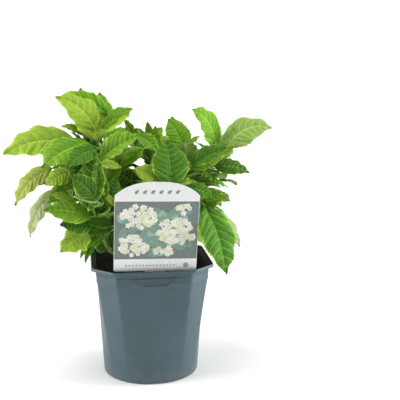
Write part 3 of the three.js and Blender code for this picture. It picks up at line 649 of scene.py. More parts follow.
def leaf_grid(leaf, looks, fine):
    """One leaf as a closed skin whose rows follow its side veins."""
    pairs = looks.vein_pairs
    rows_each = FINE_ROWS if fine else SMALL_ROWS
    count = pairs * rows_each
    w = np.arange(count + 1) / count
    w[0], w[-1] = 0.006, 0.996
    half_columns = FINE_COLUMNS if fine else SMALL_COLUMNS
    columns = np.array([-u for u in reversed(half_columns)] + [0.0] + half_columns)
    w, u = np.meshgrid(w, columns, indexing="ij")
    side = np.abs(u)
    random = seeded(leaf["seed"])
    random()
    torn = leaf.get("torn", 0)
    tooth = (np.arange(count + 1) % (rows_each // 2)) / (rows_each // 2 - 1)
    tooth = (tooth**1.4 - 0.4) * smooth(0.03, 0.14, w[:, 0]) * (1 - smooth(0.92, 1.0, w[:, 0]))
    reach = np.where(side > 0.99, 1.0, np.where(side > 0.9, 0.35, 0.0))
    teeth = looks.tooth_depth * (0.6 if leaf.get("young") else 1)
    u_cut = u * (1 + teeth * tooth[:, None] * reach)
    climb = 0.33 * smooth(0, 0.17, w) * (1 - w)
    s = np.clip(w + climb * side**1.25 + 0.012 * tooth[:, None] * reach, 0.004, 0.997)
    widths = outline(s) * (1 - 0.22 * smooth(0.8, 0.97, s)) + 0.012
    widths = widths * (1 - torn * (0.22 + 0.22 * np.sin(19 * s + np.where(u > 0, 1.2, 3.9))))
    points, facing = blade(leaf, s, u_cut, widths)

    size = leaf["length"]
    phase = (w * pairs) % 1.0
    puff = 1 - np.abs(2 * phase - 1) ** 2.4
    cross = 1 + 0.3 * np.sin(side * 21 + np.floor(w * pairs) * 2.4 + 6 * random())
    edge = smooth(0.03, 0.24, side) * (1 - 0.8 * smooth(0.7, 1.0, side)) * (1 - 0.6 * w)
    relief = looks.quilting * size * puff * cross * edge
    relief -= 0.007 * size * np.exp(-((u / 0.07) ** 2)) * (1 - w)
    wave_a, wave_b, speed = 6.3 * random(), 6.3 * random(), 2.2 + 1.6 * random()
    wave = np.sin(6.283 * speed * w + np.where(u > 0, wave_a, wave_b)) * side**2.2
    sway = looks.waviness * (0.4 if leaf.get("young") else 1)
    relief += sway * size * wave * smooth(0.02, 0.2, w)
    hooked = 0.02 * size * (random() - 0.5) * np.sin(3.1416 * w) * u
    points = points + (relief + hooked)[..., None] * facing

    rows, across = points.shape[:2]
    inner = (1 - side**6) * smooth(0, 0.03, w) * (1 - smooth(0.975, 0.996, w))
    thick = (looks.leaf_thickness * 1000 * inner)[..., None] * facing
    top = points + thick / 2
    under = points - thick / 2
    tops = np.arange(rows * across).reshape(rows, across)
    unders = tops.copy()
    unders[1:-1, 1:-1] = rows * across + np.arange((rows - 2) * (across - 2)).reshape(rows - 2, -1)
    vertices = np.vstack([top.reshape(-1, 3), under[1:-1, 1:-1].reshape(-1, 3)])
    pattern = np.stack([(u + 1) / 2, w], axis=-1)
    faces = np.concatenate([cells_of(tops, False), cells_of(unders, True)]).reshape(-1, 4)
    places = np.concatenate([cells_of(pattern, False), cells_of(pattern, True)]).reshape(-1, 2)
    return vertices, faces, places


def foliage_mesh(name, leaves, looks, materials):
    """Leaves joined in one mesh, each side of each leaf with its own cell of the baking map."""
    cells = math.ceil(math.sqrt(2 * len(leaves)))
    pieces, faces, patterns, bakes, kinds, tones = [], [], [], [], [], []
    start = 0
    for number, leaf in enumerate(leaves):
        fine = not (leaf.get("filler") or leaf.get("young"))
        vertices, quads, pattern = leaf_grid(leaf, looks, fine)
        half = len(quads) // 2
        pieces.append(vertices)
        faces.append(quads + start)
        start += len(vertices)
        patterns.append(pattern)
        for back in range(2):
            cell = 2 * number + back
            corner = np.array([cell % cells, cell // cells])
            part = pattern[back * half * 4:(back + 1) * half * 4]
            bakes.append((corner + CELL_EDGE + CELL_WIDTH * part) / cells)
        kinds.append(np.repeat([LOOKS.index(leaf["look"]), LOOKS.index("under")], half))
        tones.append(np.full(len(vertices), leaf["tone"]))
    mesh = bpy.data.meshes.new(name)
    vertices, faces = np.vstack(pieces) * MM, np.vstack(faces)
    mesh.vertices.add(len(vertices))
    mesh.vertices.foreach_set("co", vertices.ravel())
    mesh.loops.add(faces.size)
    mesh.loops.foreach_set("vertex_index", faces.ravel())
    mesh.polygons.add(len(faces))
    mesh.polygons.foreach_set("loop_start", np.arange(len(faces)) * 4)
    mesh.polygons.foreach_set("loop_total", np.full(len(faces), 4))
    mesh.update(calc_edges=True)
    for material in materials:
        mesh.materials.append(material)
    mesh.polygons.foreach_set("material_index", np.concatenate(kinds).astype(np.int32))
    smooth_all(mesh)
    mesh.uv_layers.new(name="Blade").data.foreach_set("uv", np.vstack(patterns).ravel())
    mesh.uv_layers.new(name="OFBake").data.foreach_set("uv", np.vstack(bakes).ravel())
    tone = mesh.attributes.new("tone", "FLOAT", "POINT")
    tone.data.foreach_set("value", np.concatenate(tones).astype(np.float32))
    mesh.set_sharp_from_angle(angle=math.radians(100))
    mesh.validate()
    return mesh


# Shader and geometry trees.

def socket(sockets, name):
    """A node's socket by its identifier, or else by its shown name."""
    for each in sockets:
        if each.identifier == name:
            return each
    return next(each for each in sockets if each.name == name and each.enabled)


class Sum:
    """A number in a node tree that takes part in Python's own sums."""

    def __init__(self, tree, link):
        self.tree, self.link = tree, link

    def _maths(self, operation, *values, clamp=False):
        node = self.tree.nodes.new("ShaderNodeMath")
        node.operation, node.use_clamp = operation, clamp
        for place, value in zip(node.inputs, values):
            if isinstance(value, Sum):
                self.tree.links.new(value.link, place)
            else:
                place.default_value = value
        return Sum(self.tree, node.outputs[0])

    def __add__(self, other):
        return self._maths("ADD", self, other)

    def __radd__(self, other):
        return self._maths("ADD", other, self)

    def __sub__(self, other):
        return self._maths("SUBTRACT", self, other)

    def __rsub__(self, other):
        return self._maths("SUBTRACT", other, self)

    def __mul__(self, other):
        return self._maths("MULTIPLY", self, other)

    def __rmul__(self, other):
        return self._maths("MULTIPLY", other, self)

    def __abs__(self):
        return self._maths("ABSOLUTE", self)

    def fraction(self):
        return self._maths("FRACT", self)

    def clamped(self):
        return self._maths("ADD", self, 0.0, clamp=True)

    def between(self, low, high):
        """0 below low, 1 above high, and a smooth rise from one to the other."""
        node = self.tree.nodes.new("ShaderNodeMapRange")
        node.interpolation_type = "SMOOTHSTEP"
        self.tree.links.new(self.link, node.inputs["Value"])
        node.inputs["From Min"].default_value = low
        node.inputs["From Max"].default_value = high
        return Sum(self.tree, node.outputs[0])


class Tree:
    """A node tree and the one way that nodes are put in it."""

    def __init__(self, tree):
        self.tree = tree

    def node(self, kind, sockets=None, **settings):
        node = self.tree.nodes.new(kind)
        for name, value in settings.items():
            setattr(node, name, value)
        for name, value in (sockets or {}).items():
            self.feed(socket(node.inputs, name), value)
        return node

    def feed(self, place, value):
        if isinstance(value, Sum):
            value = value.link
        if isinstance(value, bpy.types.NodeSocket):
            self.tree.links.new(value, place)
        elif place.type == "RGBA" and len(value) == 3:
            place.default_value = (*value, 1.0)
        else:
            place.default_value = value

    def number(self, node, name):
        return Sum(self.tree, socket(node.outputs, name))


class Finish(Tree):
    """A material built round one Principled shader."""

    def __init__(self, name, **constants):
        self.material = bpy.data.materials.new(name)
        self.material.use_nodes = True
        super().__init__(self.material.node_tree)
        self.shader = self.tree.nodes["Principled BSDF"]
        for key, value in constants.items():
            self.shader.inputs[key.replace("_", " ")].default_value = value
        self.here = self.node("ShaderNodeTexCoord").outputs["Object"]

    def mix(self, factor, first, second):
        node = self.node("ShaderNodeMix", {"Factor_Float": factor, "A_Color": first,
                                           "B_Color": second}, data_type="RGBA")
        return socket(node.outputs, "Result_Color")

    def stretched(self, scale):
        node = self.node("ShaderNodeMapping", {"Vector": self.here, "Scale": scale})
        return node.outputs["Vector"]

    def parts(self, vector):
        """The three parts of a vector, as numbers."""
        node = self.node("ShaderNodeSeparateXYZ", {"Vector": vector})
        return [self.number(node, axis) for axis in "XYZ"]

    def noise(self, scale, detail=3.0, roughness=0.55, where=None, distortion=0.0):
        node = self.node("ShaderNodeTexNoise", {
            "Vector": where or self.here, "Scale": scale, "Detail": detail,
            "Roughness": roughness, "Distortion": distortion})
        return self.number(node, "Fac")

    def cells(self, scale, feature="F1", where=None, dimensions="3D"):
        node = self.node("ShaderNodeTexVoronoi", {"Vector": where or self.here, "Scale": scale},
                         feature=feature, voronoi_dimensions=dimensions)
        return self.number(node, "Distance")

    def lay(self, share, colour):
        """Lays a colour over what the body has, as far as a share says."""
        self.body = self.mix(share, self.body, colour)

    def done(self, roughness, height, strength, distance):
        """Feeds the shader its body colour, roughness and relief, and gives the material."""
        bump = self.node("ShaderNodeBump",
                         {"Height": height, "Strength": strength, "Distance": distance})
        for name, value in (("Base Color", self.body), ("Roughness", roughness),
                            ("Normal", bump.outputs["Normal"])):
            self.feed(self.shader.inputs[name], value)
        return self.material


def shade(colour, factor):
    """A colour made darker or lighter."""
    return tuple(min(1.0, part * factor) for part in colour[:3])


def toward(colour, other, share):
    """A colour moved some of the way to another."""
    return tuple(mix(a, b, share) for a, b in zip(colour, other))


def leaf_finish(name, dark, light, margin, vein, vein_pairs, spotted, roughness=0.42,
                under=False, bleed=0.34, veined=0.5, dry_tip=0.0):
    """A leaf's face: side veins and a net of small ones, painted shade in the grooves beside the side
    veins, a bright margin partly painted as rim light, and a few blemishes.
    """
    shine, down = (0.08, 0.06) if under else (0.12, 0.0)
    midrib_core, midrib_reach = (0.03, 0.08) if under else (0.012, 0.05)
    net_shown, ribs_shown, sign = (0.5, 0.85, -1.0) if under else (veined * 0.6, veined, 1.0)
    finish = Finish(name, Specular_IOR_Level=shine, Sheen_Weight=down, Sheen_Roughness=0.5)
    place = finish.node("ShaderNodeUVMap", uv_map="Blade")
    u, v, _ = finish.parts(place.outputs["UV"])
    side = abs(u * 2 - 1)
    tone = finish.number(finish.node("ShaderNodeAttribute", attribute_name="tone"), "Fac")
    ribs = abs((v * vein_pairs + 0.5).fraction() - 0.5)
    rib_line = (1 - ribs.between(0.03, 0.12)) * (1 - side.between(0.8, 1.0) * 0.7)
    midrib = 1 - side.between(midrib_core, midrib_reach)
    wide, long = u * 16, v * 27
    spread = finish.node("ShaderNodeCombineXYZ", {"X": wide, "Y": long})
    wobble = finish.noise(2.2, 2.0, where=spread.outputs["Vector"])
    net_place = finish.node("ShaderNodeCombineXYZ", {"X": wide + wobble, "Y": long - wobble})
    net = finish.cells(1.0, "DISTANCE_TO_EDGE", net_place.outputs["Vector"], "2D")
    net_line = 1 - net.between(0.02, 0.12)
    blotch, mottle = finish.noise(38, 4.0), finish.noise(190, 2.0)
    lit = (tone * 0.75 + blotch * 0.8 + mottle * 1.1 - 0.8).clamped()
    finish.body = finish.mix(lit, dark, light)
    outer = (side * 0.6 + v * 0.5 + (finish.noise(55, 3.0) - 0.5) * 0.5).between(0.35, 1.1)
    finish.lay(outer * bleed, margin)
    # Painted shade in the grooves beside the side veins near the midrib, and the leaf's own darker
    # tissue in the middle of each cell of the small veins' net.
    groove_shade_and_cell_tone = (1 - ribs.between(0.06, 0.3)) * (1 - side) * 0.12 + net.between(0.16, 0.5) * 0.32
    finish.lay(groove_shade_and_cell_tone.clamped(), shade(dark, 0.55))
    finish.lay(net_line * net_shown, vein)
    # A narrow bright band at the margin: partly the leaf's paler edge and partly painted rim light
    # where the edge curls up.
    edge = (side + (finish.noise(90, 2.0) - 0.5) * 0.06).between(0.89, 0.975)
    finish.lay(edge * 0.92, margin)
    finish.lay(rib_line * ribs_shown, vein)
    finish.lay(midrib * 0.9, vein)
    if spotted:
        spots = (1 - finish.cells(150).between(0.1, 0.2)) * finish.noise(26, 2.0).between(0.53, 0.6)
        dried = (finish.noise(60, 2.0).between(0.42, 0.56) + dry_tip).clamped()
        tips = v.between(0.9 - dry_tip * 0.04, 0.98 - dry_tip * 0.08) * dried
        finish.lay(((spots + tips) * spotted).clamped(), (0.16, 0.075, 0.018))
    dull = (roughness + net_line * 0.1 + (blotch - 0.5) * 0.16).clamped()
    veins = (rib_line * -0.5 + net_line * -0.35 + mottle * 1.6) * sign
    return finish.done(dull, veins + finish.noise(420, 3.0) * 0.3, 0.9, 0.0011)


def foliage_finishes(looks):
    """One finish for each of the leaves' looks, in the order of LOOKS."""
    pairs = looks.vein_pairs
    fresh, lime, deep = looks.fresh_green[:3], looks.lime_green[:3], looks.deep_green[:3]
    under = looks.under_green[:3]
    lime_colours = (shade(lime, 0.7), shade(lime, 1.08), shade(lime, 1.35),
                    toward(lime, (0.65, 0.85, 0.22), 0.4))
    return [
        leaf_finish("Leaf_fresh", shade(fresh, 0.72), shade(fresh, 1.2), lime,
                    toward(lime, (0.45, 0.7, 0.1), 0.4), pairs, 0.8),
        leaf_finish("Leaf_lime", *lime_colours, pairs, 0.8),
        leaf_finish("Leaf_deep", shade(deep, 0.6), shade(deep, 1.4), toward(fresh, lime, 0.85),
                    toward(deep, (0.28, 0.52, 0.07), 0.7), pairs, 0.6, 0.4, bleed=0.08, veined=0.8),
        leaf_finish("Leaf_old", toward(fresh, (0.32, 0.33, 0.04), 0.5),
                    toward(lime, (0.52, 0.55, 0.13), 0.7), (0.5, 0.42, 0.09),
                    (0.5, 0.54, 0.2), pairs, 1.0, 0.5),
        leaf_finish("Leaf_young", shade(lime, 0.8), shade(lime, 1.2), shade(lime, 1.4),
                    shade(lime, 1.35), pairs, 0.0, 0.38),
        leaf_finish("Leaf_underside", shade(under, 0.85), shade(under, 1.15), shade(under, 1.2),
                    shade(under, 1.5), pairs, 0.25, 0.62, under=True),
        leaf_finish("Leaf_dry_tip", *lime_colours, pairs, 1.0, dry_tip=1.0),
        leaf_finish("Leaf_pale", toward(under, (0.38, 0.42, 0.2), 0.7),
                    toward(under, (0.5, 0.52, 0.3), 0.8), toward(under, (0.56, 0.6, 0.34), 0.8),
                    toward(under, (0.6, 0.64, 0.4), 0.7), pairs, 0.8, 0.62, under=True),
    ]


def deal_looks(leaves):
    """Each leaf's finish and tone: brighter near the top and the tips, deeper low and inside, partly
    the greens of young and old leaves and partly painted light and shade.
    """
    for number, leaf in enumerate(leaves):
        leaf["seed"] = SEED * 7 + 31 * number
        random = seeded(leaf["seed"])
        random()
        chance, tone = random(), 0.25 + 0.6 * random()
        height = (leaf["base"][2] - SHADE_HEIGHT) / SHADE_REACH
        if leaf.get("young"):
            look = "young"
        elif leaf.get("filler"):
            # Small leaves inside the crown lean to deep green at half the tone: painted shade.
            look = "deep" if chance < 0.8 - 0.4 * height else "fresh"
            tone *= 0.5
        else:
            look = "lime" if chance < 0.3 * height else "deep" if chance > 0.62 else "fresh"
        leaf["look"], leaf["tone"] = leaf.get("look", look), leaf.get("tone", tone)


def lines_mesh(name, paths):
    """Open lines through points in millimetres, each point with its girth and stem number."""
    mesh = bpy.data.meshes.new(name)
    points, edges, girths, stems = [], [], [], []
    for stem, (path, girth) in enumerate(paths):
        first = len(points)
        points += [tuple(np.asarray(point) * MM) for point in path]
        girths += [float(value) * MM for value in girth]
        stems += [float(stem)] * len(path)
        edges += [(first + i, first + i + 1) for i in range(len(path) - 1)]
    mesh.from_pydata(points, edges, [])
    mesh.attributes.new("girth", "FLOAT", "POINT").data.foreach_set("value", girths)
    mesh.attributes.new("stem", "FLOAT", "POINT").data.foreach_set("value", stems)
    return mesh


def geometry_tree(name, numbers, things):
    """An empty tree that takes geometry, numbers with their usual values and other things."""
    group = bpy.data.node_groups.new(name, "GeometryNodeTree")
    face = group.interface
    face.new_socket("Geometry", in_out="INPUT", socket_type="NodeSocketGeometry")
    for title, kind, value in numbers:
        entry = face.new_socket(title, in_out="INPUT", socket_type="NodeSocket" + kind)
        entry.default_value = value
    for title in things:
        face.new_socket(title, in_out="INPUT", socket_type="NodeSocket" + title)
    face.new_socket("Geometry", in_out="OUTPUT", socket_type="NodeSocketGeometry")
    return Tree(group)


def give_out(build, geometry, material):
    """Makes a tree's geometry real, coats it and hands it out."""
    real = build.node("GeometryNodeRealizeInstances", {"Geometry": geometry})
    done = build.node("GeometryNodeSetMaterial",
                      {"Geometry": real.outputs["Geometry"], "Material": material})
    build.node("NodeGroupOutput", {"Geometry": done.outputs["Geometry"]})


def stem_tree():
    """Geometry Nodes that wrap round skin about lines, with low ripples on it."""
    build = geometry_tree("Round stems", (("Sides", "Int", 8), ("Ripple", "Float", 0.0002),
                                          ("Grain", "Float", 400.0)), ("Material",))
    given = build.node("NodeGroupInput").outputs
    curve = build.node("GeometryNodeMeshToCurve", {"Mesh": given["Geometry"]})
    girth = build.node("GeometryNodeInputNamedAttribute", {"Name": "girth"}, data_type="FLOAT")
    section = build.node("GeometryNodeCurvePrimitiveCircle",
                         {"Resolution": given["Sides"], "Radius": 1.0})
    skin = build.node("GeometryNodeCurveToMesh", {
        "Curve": curve.outputs["Curve"], "Profile Curve": section.outputs["Curve"],
        "Scale": girth.outputs["Attribute"], "Fill Caps": True})
    noise_node = build.node("ShaderNodeTexNoise", {"Scale": given["Grain"], "Detail": 2.0})
    lift = (build.number(noise_node, "Fac") - 0.5) * Sum(build.tree, given["Ripple"])
    normal = build.node("GeometryNodeInputNormal")
    push = build.node("ShaderNodeVectorMath", {"Vector": normal.outputs["Normal"], "Scale": lift},
                      operation="SCALE")
    moved = build.node("GeometryNodeSetPosition", {"Geometry": skin.outputs["Mesh"],
                                                   "Offset": push.outputs["Vector"]})
    soft = build.node("GeometryNodeSetShadeSmooth", {"Geometry": moved.outputs["Geometry"]})
    give_out(build, soft.outputs["Geometry"], given["Material"])
    return build.tree


def scatter_tree():
    """Geometry Nodes that strew small turned lumps over a surface."""
    build = geometry_tree("Strewn crumbs", (
        ("Density", "Float", 40000.0), ("Smallest", "Float", 0.0006), ("Largest", "Float", 0.0022),
        ("Flatness", "Float", 0.6), ("Seed", "Int", 3)), ("Object", "Material"))
    given = build.node("NodeGroupInput").outputs
    points = build.node("GeometryNodeDistributePointsOnFaces", {
        "Mesh": given["Geometry"], "Density": given["Density"], "Seed": given["Seed"]})
    lump = build.node("GeometryNodeObjectInfo", {"Object": given["Object"]})
    size = build.node("FunctionNodeRandomValue", {
        "Min_001": given["Smallest"], "Max_001": given["Largest"], "Seed": given["Seed"]},
        data_type="FLOAT")
    turn = build.node("FunctionNodeRandomValue", {
        "Min": (-0.5, -0.5, 0.0), "Max": (0.5, 0.5, 6.28), "Seed": given["Seed"]},
        data_type="FLOAT_VECTOR")
    amount = Sum(build.tree, size.outputs[1])
    scale = build.node("ShaderNodeCombineXYZ", {
        "X": amount, "Y": amount * 0.8, "Z": amount * Sum(build.tree, given["Flatness"])})
    placed = build.node("GeometryNodeInstanceOnPoints", {
        "Points": points.outputs["Points"], "Instance": lump.outputs["Geometry"],
        "Rotation": turn.outputs[0], "Scale": scale.outputs["Vector"]})
    give_out(build, placed.outputs["Instances"], given["Material"])
    return build.tree


# Meshes and objects.

def grown_by(name, mesh, group, values):
    """The plain mesh that a Geometry Nodes tree makes from a mesh, as an object in the scene."""
    source = bpy.data.objects.new(name + "_source", mesh)
    bpy.context.scene.collection.objects.link(source)
    modifier = source.modifiers.new("Grow", "NODES")
    modifier.node_group = group
    for item in group.interface.items_tree:
        if item.in_out == "INPUT" and item.name in values:
            modifier[item.identifier] = values[item.name]
    grown = bpy.data.meshes.new_from_object(
        source.evaluated_get(bpy.context.evaluated_depsgraph_get()))
    grown.name = name
    bpy.data.objects.remove(source)
    return in_scene(name, grown)


def skin_of(name, vertices, faces):
    mesh = bpy.data.meshes.new(name)
    mesh.from_pydata(vertices, [], faces)
    return mesh


def closed_skin(name, vertices, faces):
    """A mesh whose faces are turned to look outward."""
    mesh = skin_of(name, vertices, faces)
    face_outward(mesh)
    return mesh


def face_outward(mesh):
    """Welds the corners that meet and turns every face outward."""
    shape = bmesh.new()
    shape.from_mesh(mesh)
    bmesh.ops.remove_doubles(shape, verts=shape.verts, dist=1e-7)
    bmesh.ops.recalc_face_normals(shape, faces=shape.faces)
    shape.to_mesh(mesh)
    shape.free()


def band(low, high, count):
    """The faces between two closed rings of corners that start at two numbers."""
    return [(low + i, low + (i + 1) % count, high + (i + 1) % count, high + i)
            for i in range(count)]


def smooth_all(mesh):
    mesh.polygons.foreach_set("use_smooth", np.ones(len(mesh.polygons), bool))


def smooth_above(mesh, degrees):
    """Smooth shading with an edge kept wherever two faces turn by more than an angle."""
    smooth_all(mesh)
    mesh.set_sharp_from_angle(angle=math.radians(degrees))


def in_scene(name, mesh):
    """A mesh as an object in the scene."""
    piece = bpy.data.objects.new(name, mesh)
    bpy.context.scene.collection.objects.link(piece)
    return piece


def settle(piece, slot, *nodes):
    """Ties a finished piece to the plant's one body and hides the frame's parts it stands for."""
    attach(piece, BODY)
    if nodes:
        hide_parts(*nodes)
    return piece


# The pot, its soil and the card.

def lathe_turns(flat_steps=10, edge=(0.9, 2.2, 4.0)):
    """Angles round the pot, closer together at the eight upright edges."""
    corner = math.degrees(math.atan(FLAT_SHARE))
    turns = []
    for quarter in range(4):
        middle = quarter * 90
        for around in (middle - corner, middle + corner):
            turns += [around] + [around + sign * step for step in edge for sign in (-1, 1)]
        turns += list(np.linspace(middle - corner, middle + corner, flat_steps + 2)[1:-1])
        turns += list(np.linspace(middle + corner, middle + 90 - corner, 6)[1:-1])
    return np.radians(sorted(turns))


def soft_radius(turn, half, roundness, softness):
    """The pot's radius with its upright edges eased."""
    one, two = pot_sides(turn, half)
    octagon = (one + two) / 2 - np.sqrt((one - two) ** 2 + softness**2) / 2
    return mix(octagon, half, roundness)


def lathe(name, profile, turns, closed):
    """A skin of rings about the pot's axis from (height, half width) stations."""
    square, round_below = SHOULDER_HEIGHT - 2, FOOT_BEVEL
    vertices = []
    for z, half in profile:
        roundness = min(1.0, max(0.0, (square - z) / (square - round_below)))
        softness = 1.4 if half > 20 else 0.05
        radius = soft_radius(turns, half, roundness, softness)
        vertices += [(r * math.cos(t) * MM, r * math.sin(t) * MM, z * MM)
                     for r, t in zip(radius, turns)]
    around, rings = len(turns), len(profile)
    faces = []
    for ring in range(rings if closed else rings - 1):
        faces += band(ring * around, (ring + 1) % rings * around, around)
    if not closed:
        faces.append(tuple(range(around))[::-1])
        faces.append(tuple((rings - 1) * around + i for i in range(around)))
    return skin_of(name, vertices, faces)


def pot_profile():
    """The wall's section: up the outside, over the lip, down the inside and under the floor."""
    slope = (SHOULDER_HALF - FOOT_RADIUS) / (SHOULDER_HEIGHT - FOOT_BEVEL)
    lip, collar, body = POT_HEIGHT, COLLAR_HALF, SHOULDER_HALF
    foot = FOOT_RADIUS
    outside = [(0.0, 66.0), (0.0, foot - 3.4), (0.25, foot - 1.8), (0.9, foot - 0.7), (2.5, foot)]
    outside += [(z, foot + slope * (z - FOOT_BEVEL)) for z in range(12, 158, 12)]
    outside += [(159.3, body - 0.05), (160.2, body + 0.15), (162.0, collar - 1.35),
                (162.8, collar - 1.05), (164.0, collar - 0.95), (169.0, collar - 0.75),
                (173.7, collar - 0.5), (174.1, collar - 0.1), (174.9, collar - 0.1),
                (175.3, collar - 0.45), (180.6, collar - 0.1), (181.4, collar + 0.15),
                (181.9, 89.0), (182.0, 90.5), (182.05, 93.6), (182.4, 94.5), (183.1, 94.95),
                (184.6, LIP_HALF), (186.0, 94.9), (186.7, 94.6), (lip, 94.0), (lip, 93.7),
                (186.8, 93.35), (186.2, 92.7)]
    inside = [(184.4, 90.5), (181.6, 86.7), (180.9, 86.1), (176.0, 85.8), (162.4, 85.1),
              (161.0, 84.9), (159.0, 84.0), (158.0, body - WALL)]
    inside += [(z, foot - WALL + slope * (z - FLOOR)) for z in range(146, 8, -14)]
    inside += [(6.4, foot - 2.1), (5.0, foot - 2.8), (FLOOR, foot - 4.2), (FLOOR, 60.0),
               (FLOOR, 30.0), (FLOOR, 1.5)]
    under = [(2.0, 1.5), (2.0, 30.0), (2.0, 60.0), (1.7, 62.5), (0.4, 64.6)]
    return outside + inside + under


def cutter(points, depth, away, turn):
    """A prism to cut with: an outline in x and z, pushed along y, then moved out and turned."""
    count = len(points)
    vertices = [(x, y, z) for y in (-depth / 2, depth / 2) for x, z in points]
    faces = [tuple(range(count)), tuple(range(2 * count - 1, count - 1, -1))]
    faces += [(j, i, i + count, j + count) for i, j in ((k, (k + 1) % count) for k in range(count))]
    c, s = math.cos(turn), math.sin(turn)
    turned = [(x * c - (y - away) * s, x * s + (y - away) * c, z) for x, y, z in vertices]
    return [tuple(part * MM for part in vertex) for vertex in turned], faces


def pot_cuts():
    """The drain holes in the floor and the low arches in the foot, as one mesh to cut with."""
    vertices, faces = [], []
    shapes = []
    around = DRAIN_SIDES
    ends = [tuple(range(around - 1, -1, -1)), tuple(range(around, 2 * around))]
    for i in range(DRAINS):
        turn = (i + 0.5) * 2 * math.pi / DRAINS
        x, y = DRAIN_RING * math.cos(turn), DRAIN_RING * math.sin(turn)
        ring = [(x + DRAIN_RADIUS * math.cos(a), y + DRAIN_RADIUS * math.sin(a))
                for a in np.arange(around) * 2 * math.pi / around]
        hole = [(a * MM, b * MM, height * MM) for height in DRAIN_CUT for a, b in ring]
        shapes.append((hole, ends + band(0, around, around)))
    arch = [(-NOTCH_WIDTH / 2, -1.0)]
    for t in np.linspace(0, 1, 13):
        x = mix(-NOTCH_WIDTH / 2, NOTCH_WIDTH / 2, t)
        off = abs(2 * t - 1)
        arch.append((x, NOTCH_HEIGHT * (1 - off**2.2) + 0.02 - 0.9 * off**6))
    arch.append((NOTCH_WIDTH / 2, -1.0))
    for i in range(4):
        shapes.append(cutter(arch, 12, FOOT_RADIUS - 1, i * math.pi / 2))
    for more, rings in shapes:
        start = len(vertices)
        vertices += more
        faces += [tuple(start + i for i in ring) for ring in rings]
    return closed_skin("Pot_cuts", vertices, faces)


def tab_mesh():
    """The trapezoid mark on the front of the collar: a thin frame round a sunk field."""
    slope = 1 / (POT_HEIGHT - LIP_DEPTH - 3 - COLLAR_FOOT)

    def loop(inset, stand):
        top, bottom = TAB_TOP / 2 - inset, TAB_BOTTOM / 2 - inset * 0.6
        rows = ((bottom, inset - TAB_HEIGHT), (top, -inset))
        corners = [(-rows[0][0], rows[0][1]), rows[0], rows[1], (-rows[1][0], rows[1][1])]
        wall = COLLAR_HALF - 1 + slope * (TAB_HIGHEST - COLLAR_FOOT)
        return [(x * MM, -(wall + stand + z * slope) * MM, (TAB_HIGHEST + z) * MM)
                for x, z in corners]

    loops = [loop(0, -1.0), loop(0, 0.35), loop(0.35, 0.7), loop(1.0, 0.7), loop(1.3, 0.3),
             loop(1.6, 0.25)]
    vertices = [vertex for ring in loops for vertex in ring]
    faces = [(0, 3, 2, 1)]
    for ring in range(len(loops) - 1):
        faces += band(4 * ring, 4 * ring + 4, 4)
    faces.append(tuple(4 * (len(loops) - 1) + i for i in range(4)))
    return skin_of("Tab", vertices, faces)


def joined(name, *pieces):
    """Objects joined in one, with the finishes of the first kept in their order."""
    bpy.ops.object.select_all(action="DESELECT")
    for piece in pieces:
        piece.select_set(True)
    bpy.context.view_layer.objects.active = pieces[0]
    bpy.ops.object.join()
    pieces[0].name = name
    pieces[0].data.name = name
    return pieces[0]


def plastic_finish(look, name="Pot_plastic", lift=1.0):
    """Dull blue-grey moulded plastic: flow streaks, dry splashes, dust at the foot, light scuffs."""
    colour = shade(look.pot_colour, lift)
    finish = Finish(name, Specular_IOR_Level=0.45)
    cloud = finish.noise(14, 4.0)
    streak = finish.noise(1.0, 4.0, where=finish.stretched((70, 70, 6)))
    finish.body = finish.mix(cloud.between(0.35, 0.7), shade(colour, 0.94), shade(colour, 1.07))
    finish.lay(streak.between(0.5, 0.8) * 0.3, shade(colour, 1.22))
    height = finish.parts(finish.here)[2]
    low = 1 - (height + (finish.noise(55, 3.0) - 0.5) * 0.03).between(0.0, 0.03)
    dry = finish.noise(120, 5.0, 0.65).between(0.56, 0.75) * look.pot_dust
    finish.lay((low * 0.35 * look.pot_dust + dry * 0.35).clamped(), (0.26, 0.25, 0.22))
    scratch = finish.noise(1.0, 2.0, where=finish.stretched((30, 30, 420)), distortion=0.6)
    scuff = scratch.between(0.66, 0.72) * finish.noise(30, 2.0).between(0.52, 0.62)
    finish.lay(scuff * 0.28, shade(colour, 1.9))
    dull = (0.4 + cloud * 0.12 + dry * 0.25 + scuff * 0.1).clamped()
    grain = finish.noise(1500, 2.0) * 0.5 + finish.noise(160, 3.0) * 0.7 + streak * 0.5
    return finish.done(dull, grain - scuff * 0.5, 0.12, 0.0006)


def shaded_inside_finish(look):
    """The pot's inner wall as painted shade: the pot's colour at a fifth, smeared with the soil's
    colour.
    """
    finish = Finish("Pot_inside", Specular_IOR_Level=0.1)
    smear = finish.noise(45, 5.0, 0.6)
    shaded_wall = shade(look.pot_colour, 0.2)
    finish.body = finish.mix(smear.between(0.35, 0.65), look.soil_colour, shaded_wall)
    return finish.done(0.55 + smear * 0.35, smear + finish.noise(500, 3.0) * 0.4, 0.3, 0.0008)


def soil_finish(look, name="Soil_peat", lift=1.0):
    """Dark lumpy compost with pale fibres in it."""
    colour = look.soil_colour[:3]
    finish = Finish(name, Specular_IOR_Level=0.2)
    lumps = finish.noise(260, 5.0, 0.65)
    moist, dry = shade(colour, 0.5 * lift), shade(colour, 1.5 * lift)
    finish.body = finish.mix(lumps.between(0.3, 0.7), moist, dry)
    fibres = finish.noise(1.0, 3.0, where=finish.stretched((180, 900, 300)), distortion=1.4)
    finish.lay(fibres.between(0.6, 0.75) * 0.6, shade((0.09, 0.055, 0.03), lift))
    return finish.done(0.8 + lumps * 0.2, lumps + finish.cells(330) * 0.5, 0.9, 0.0012)


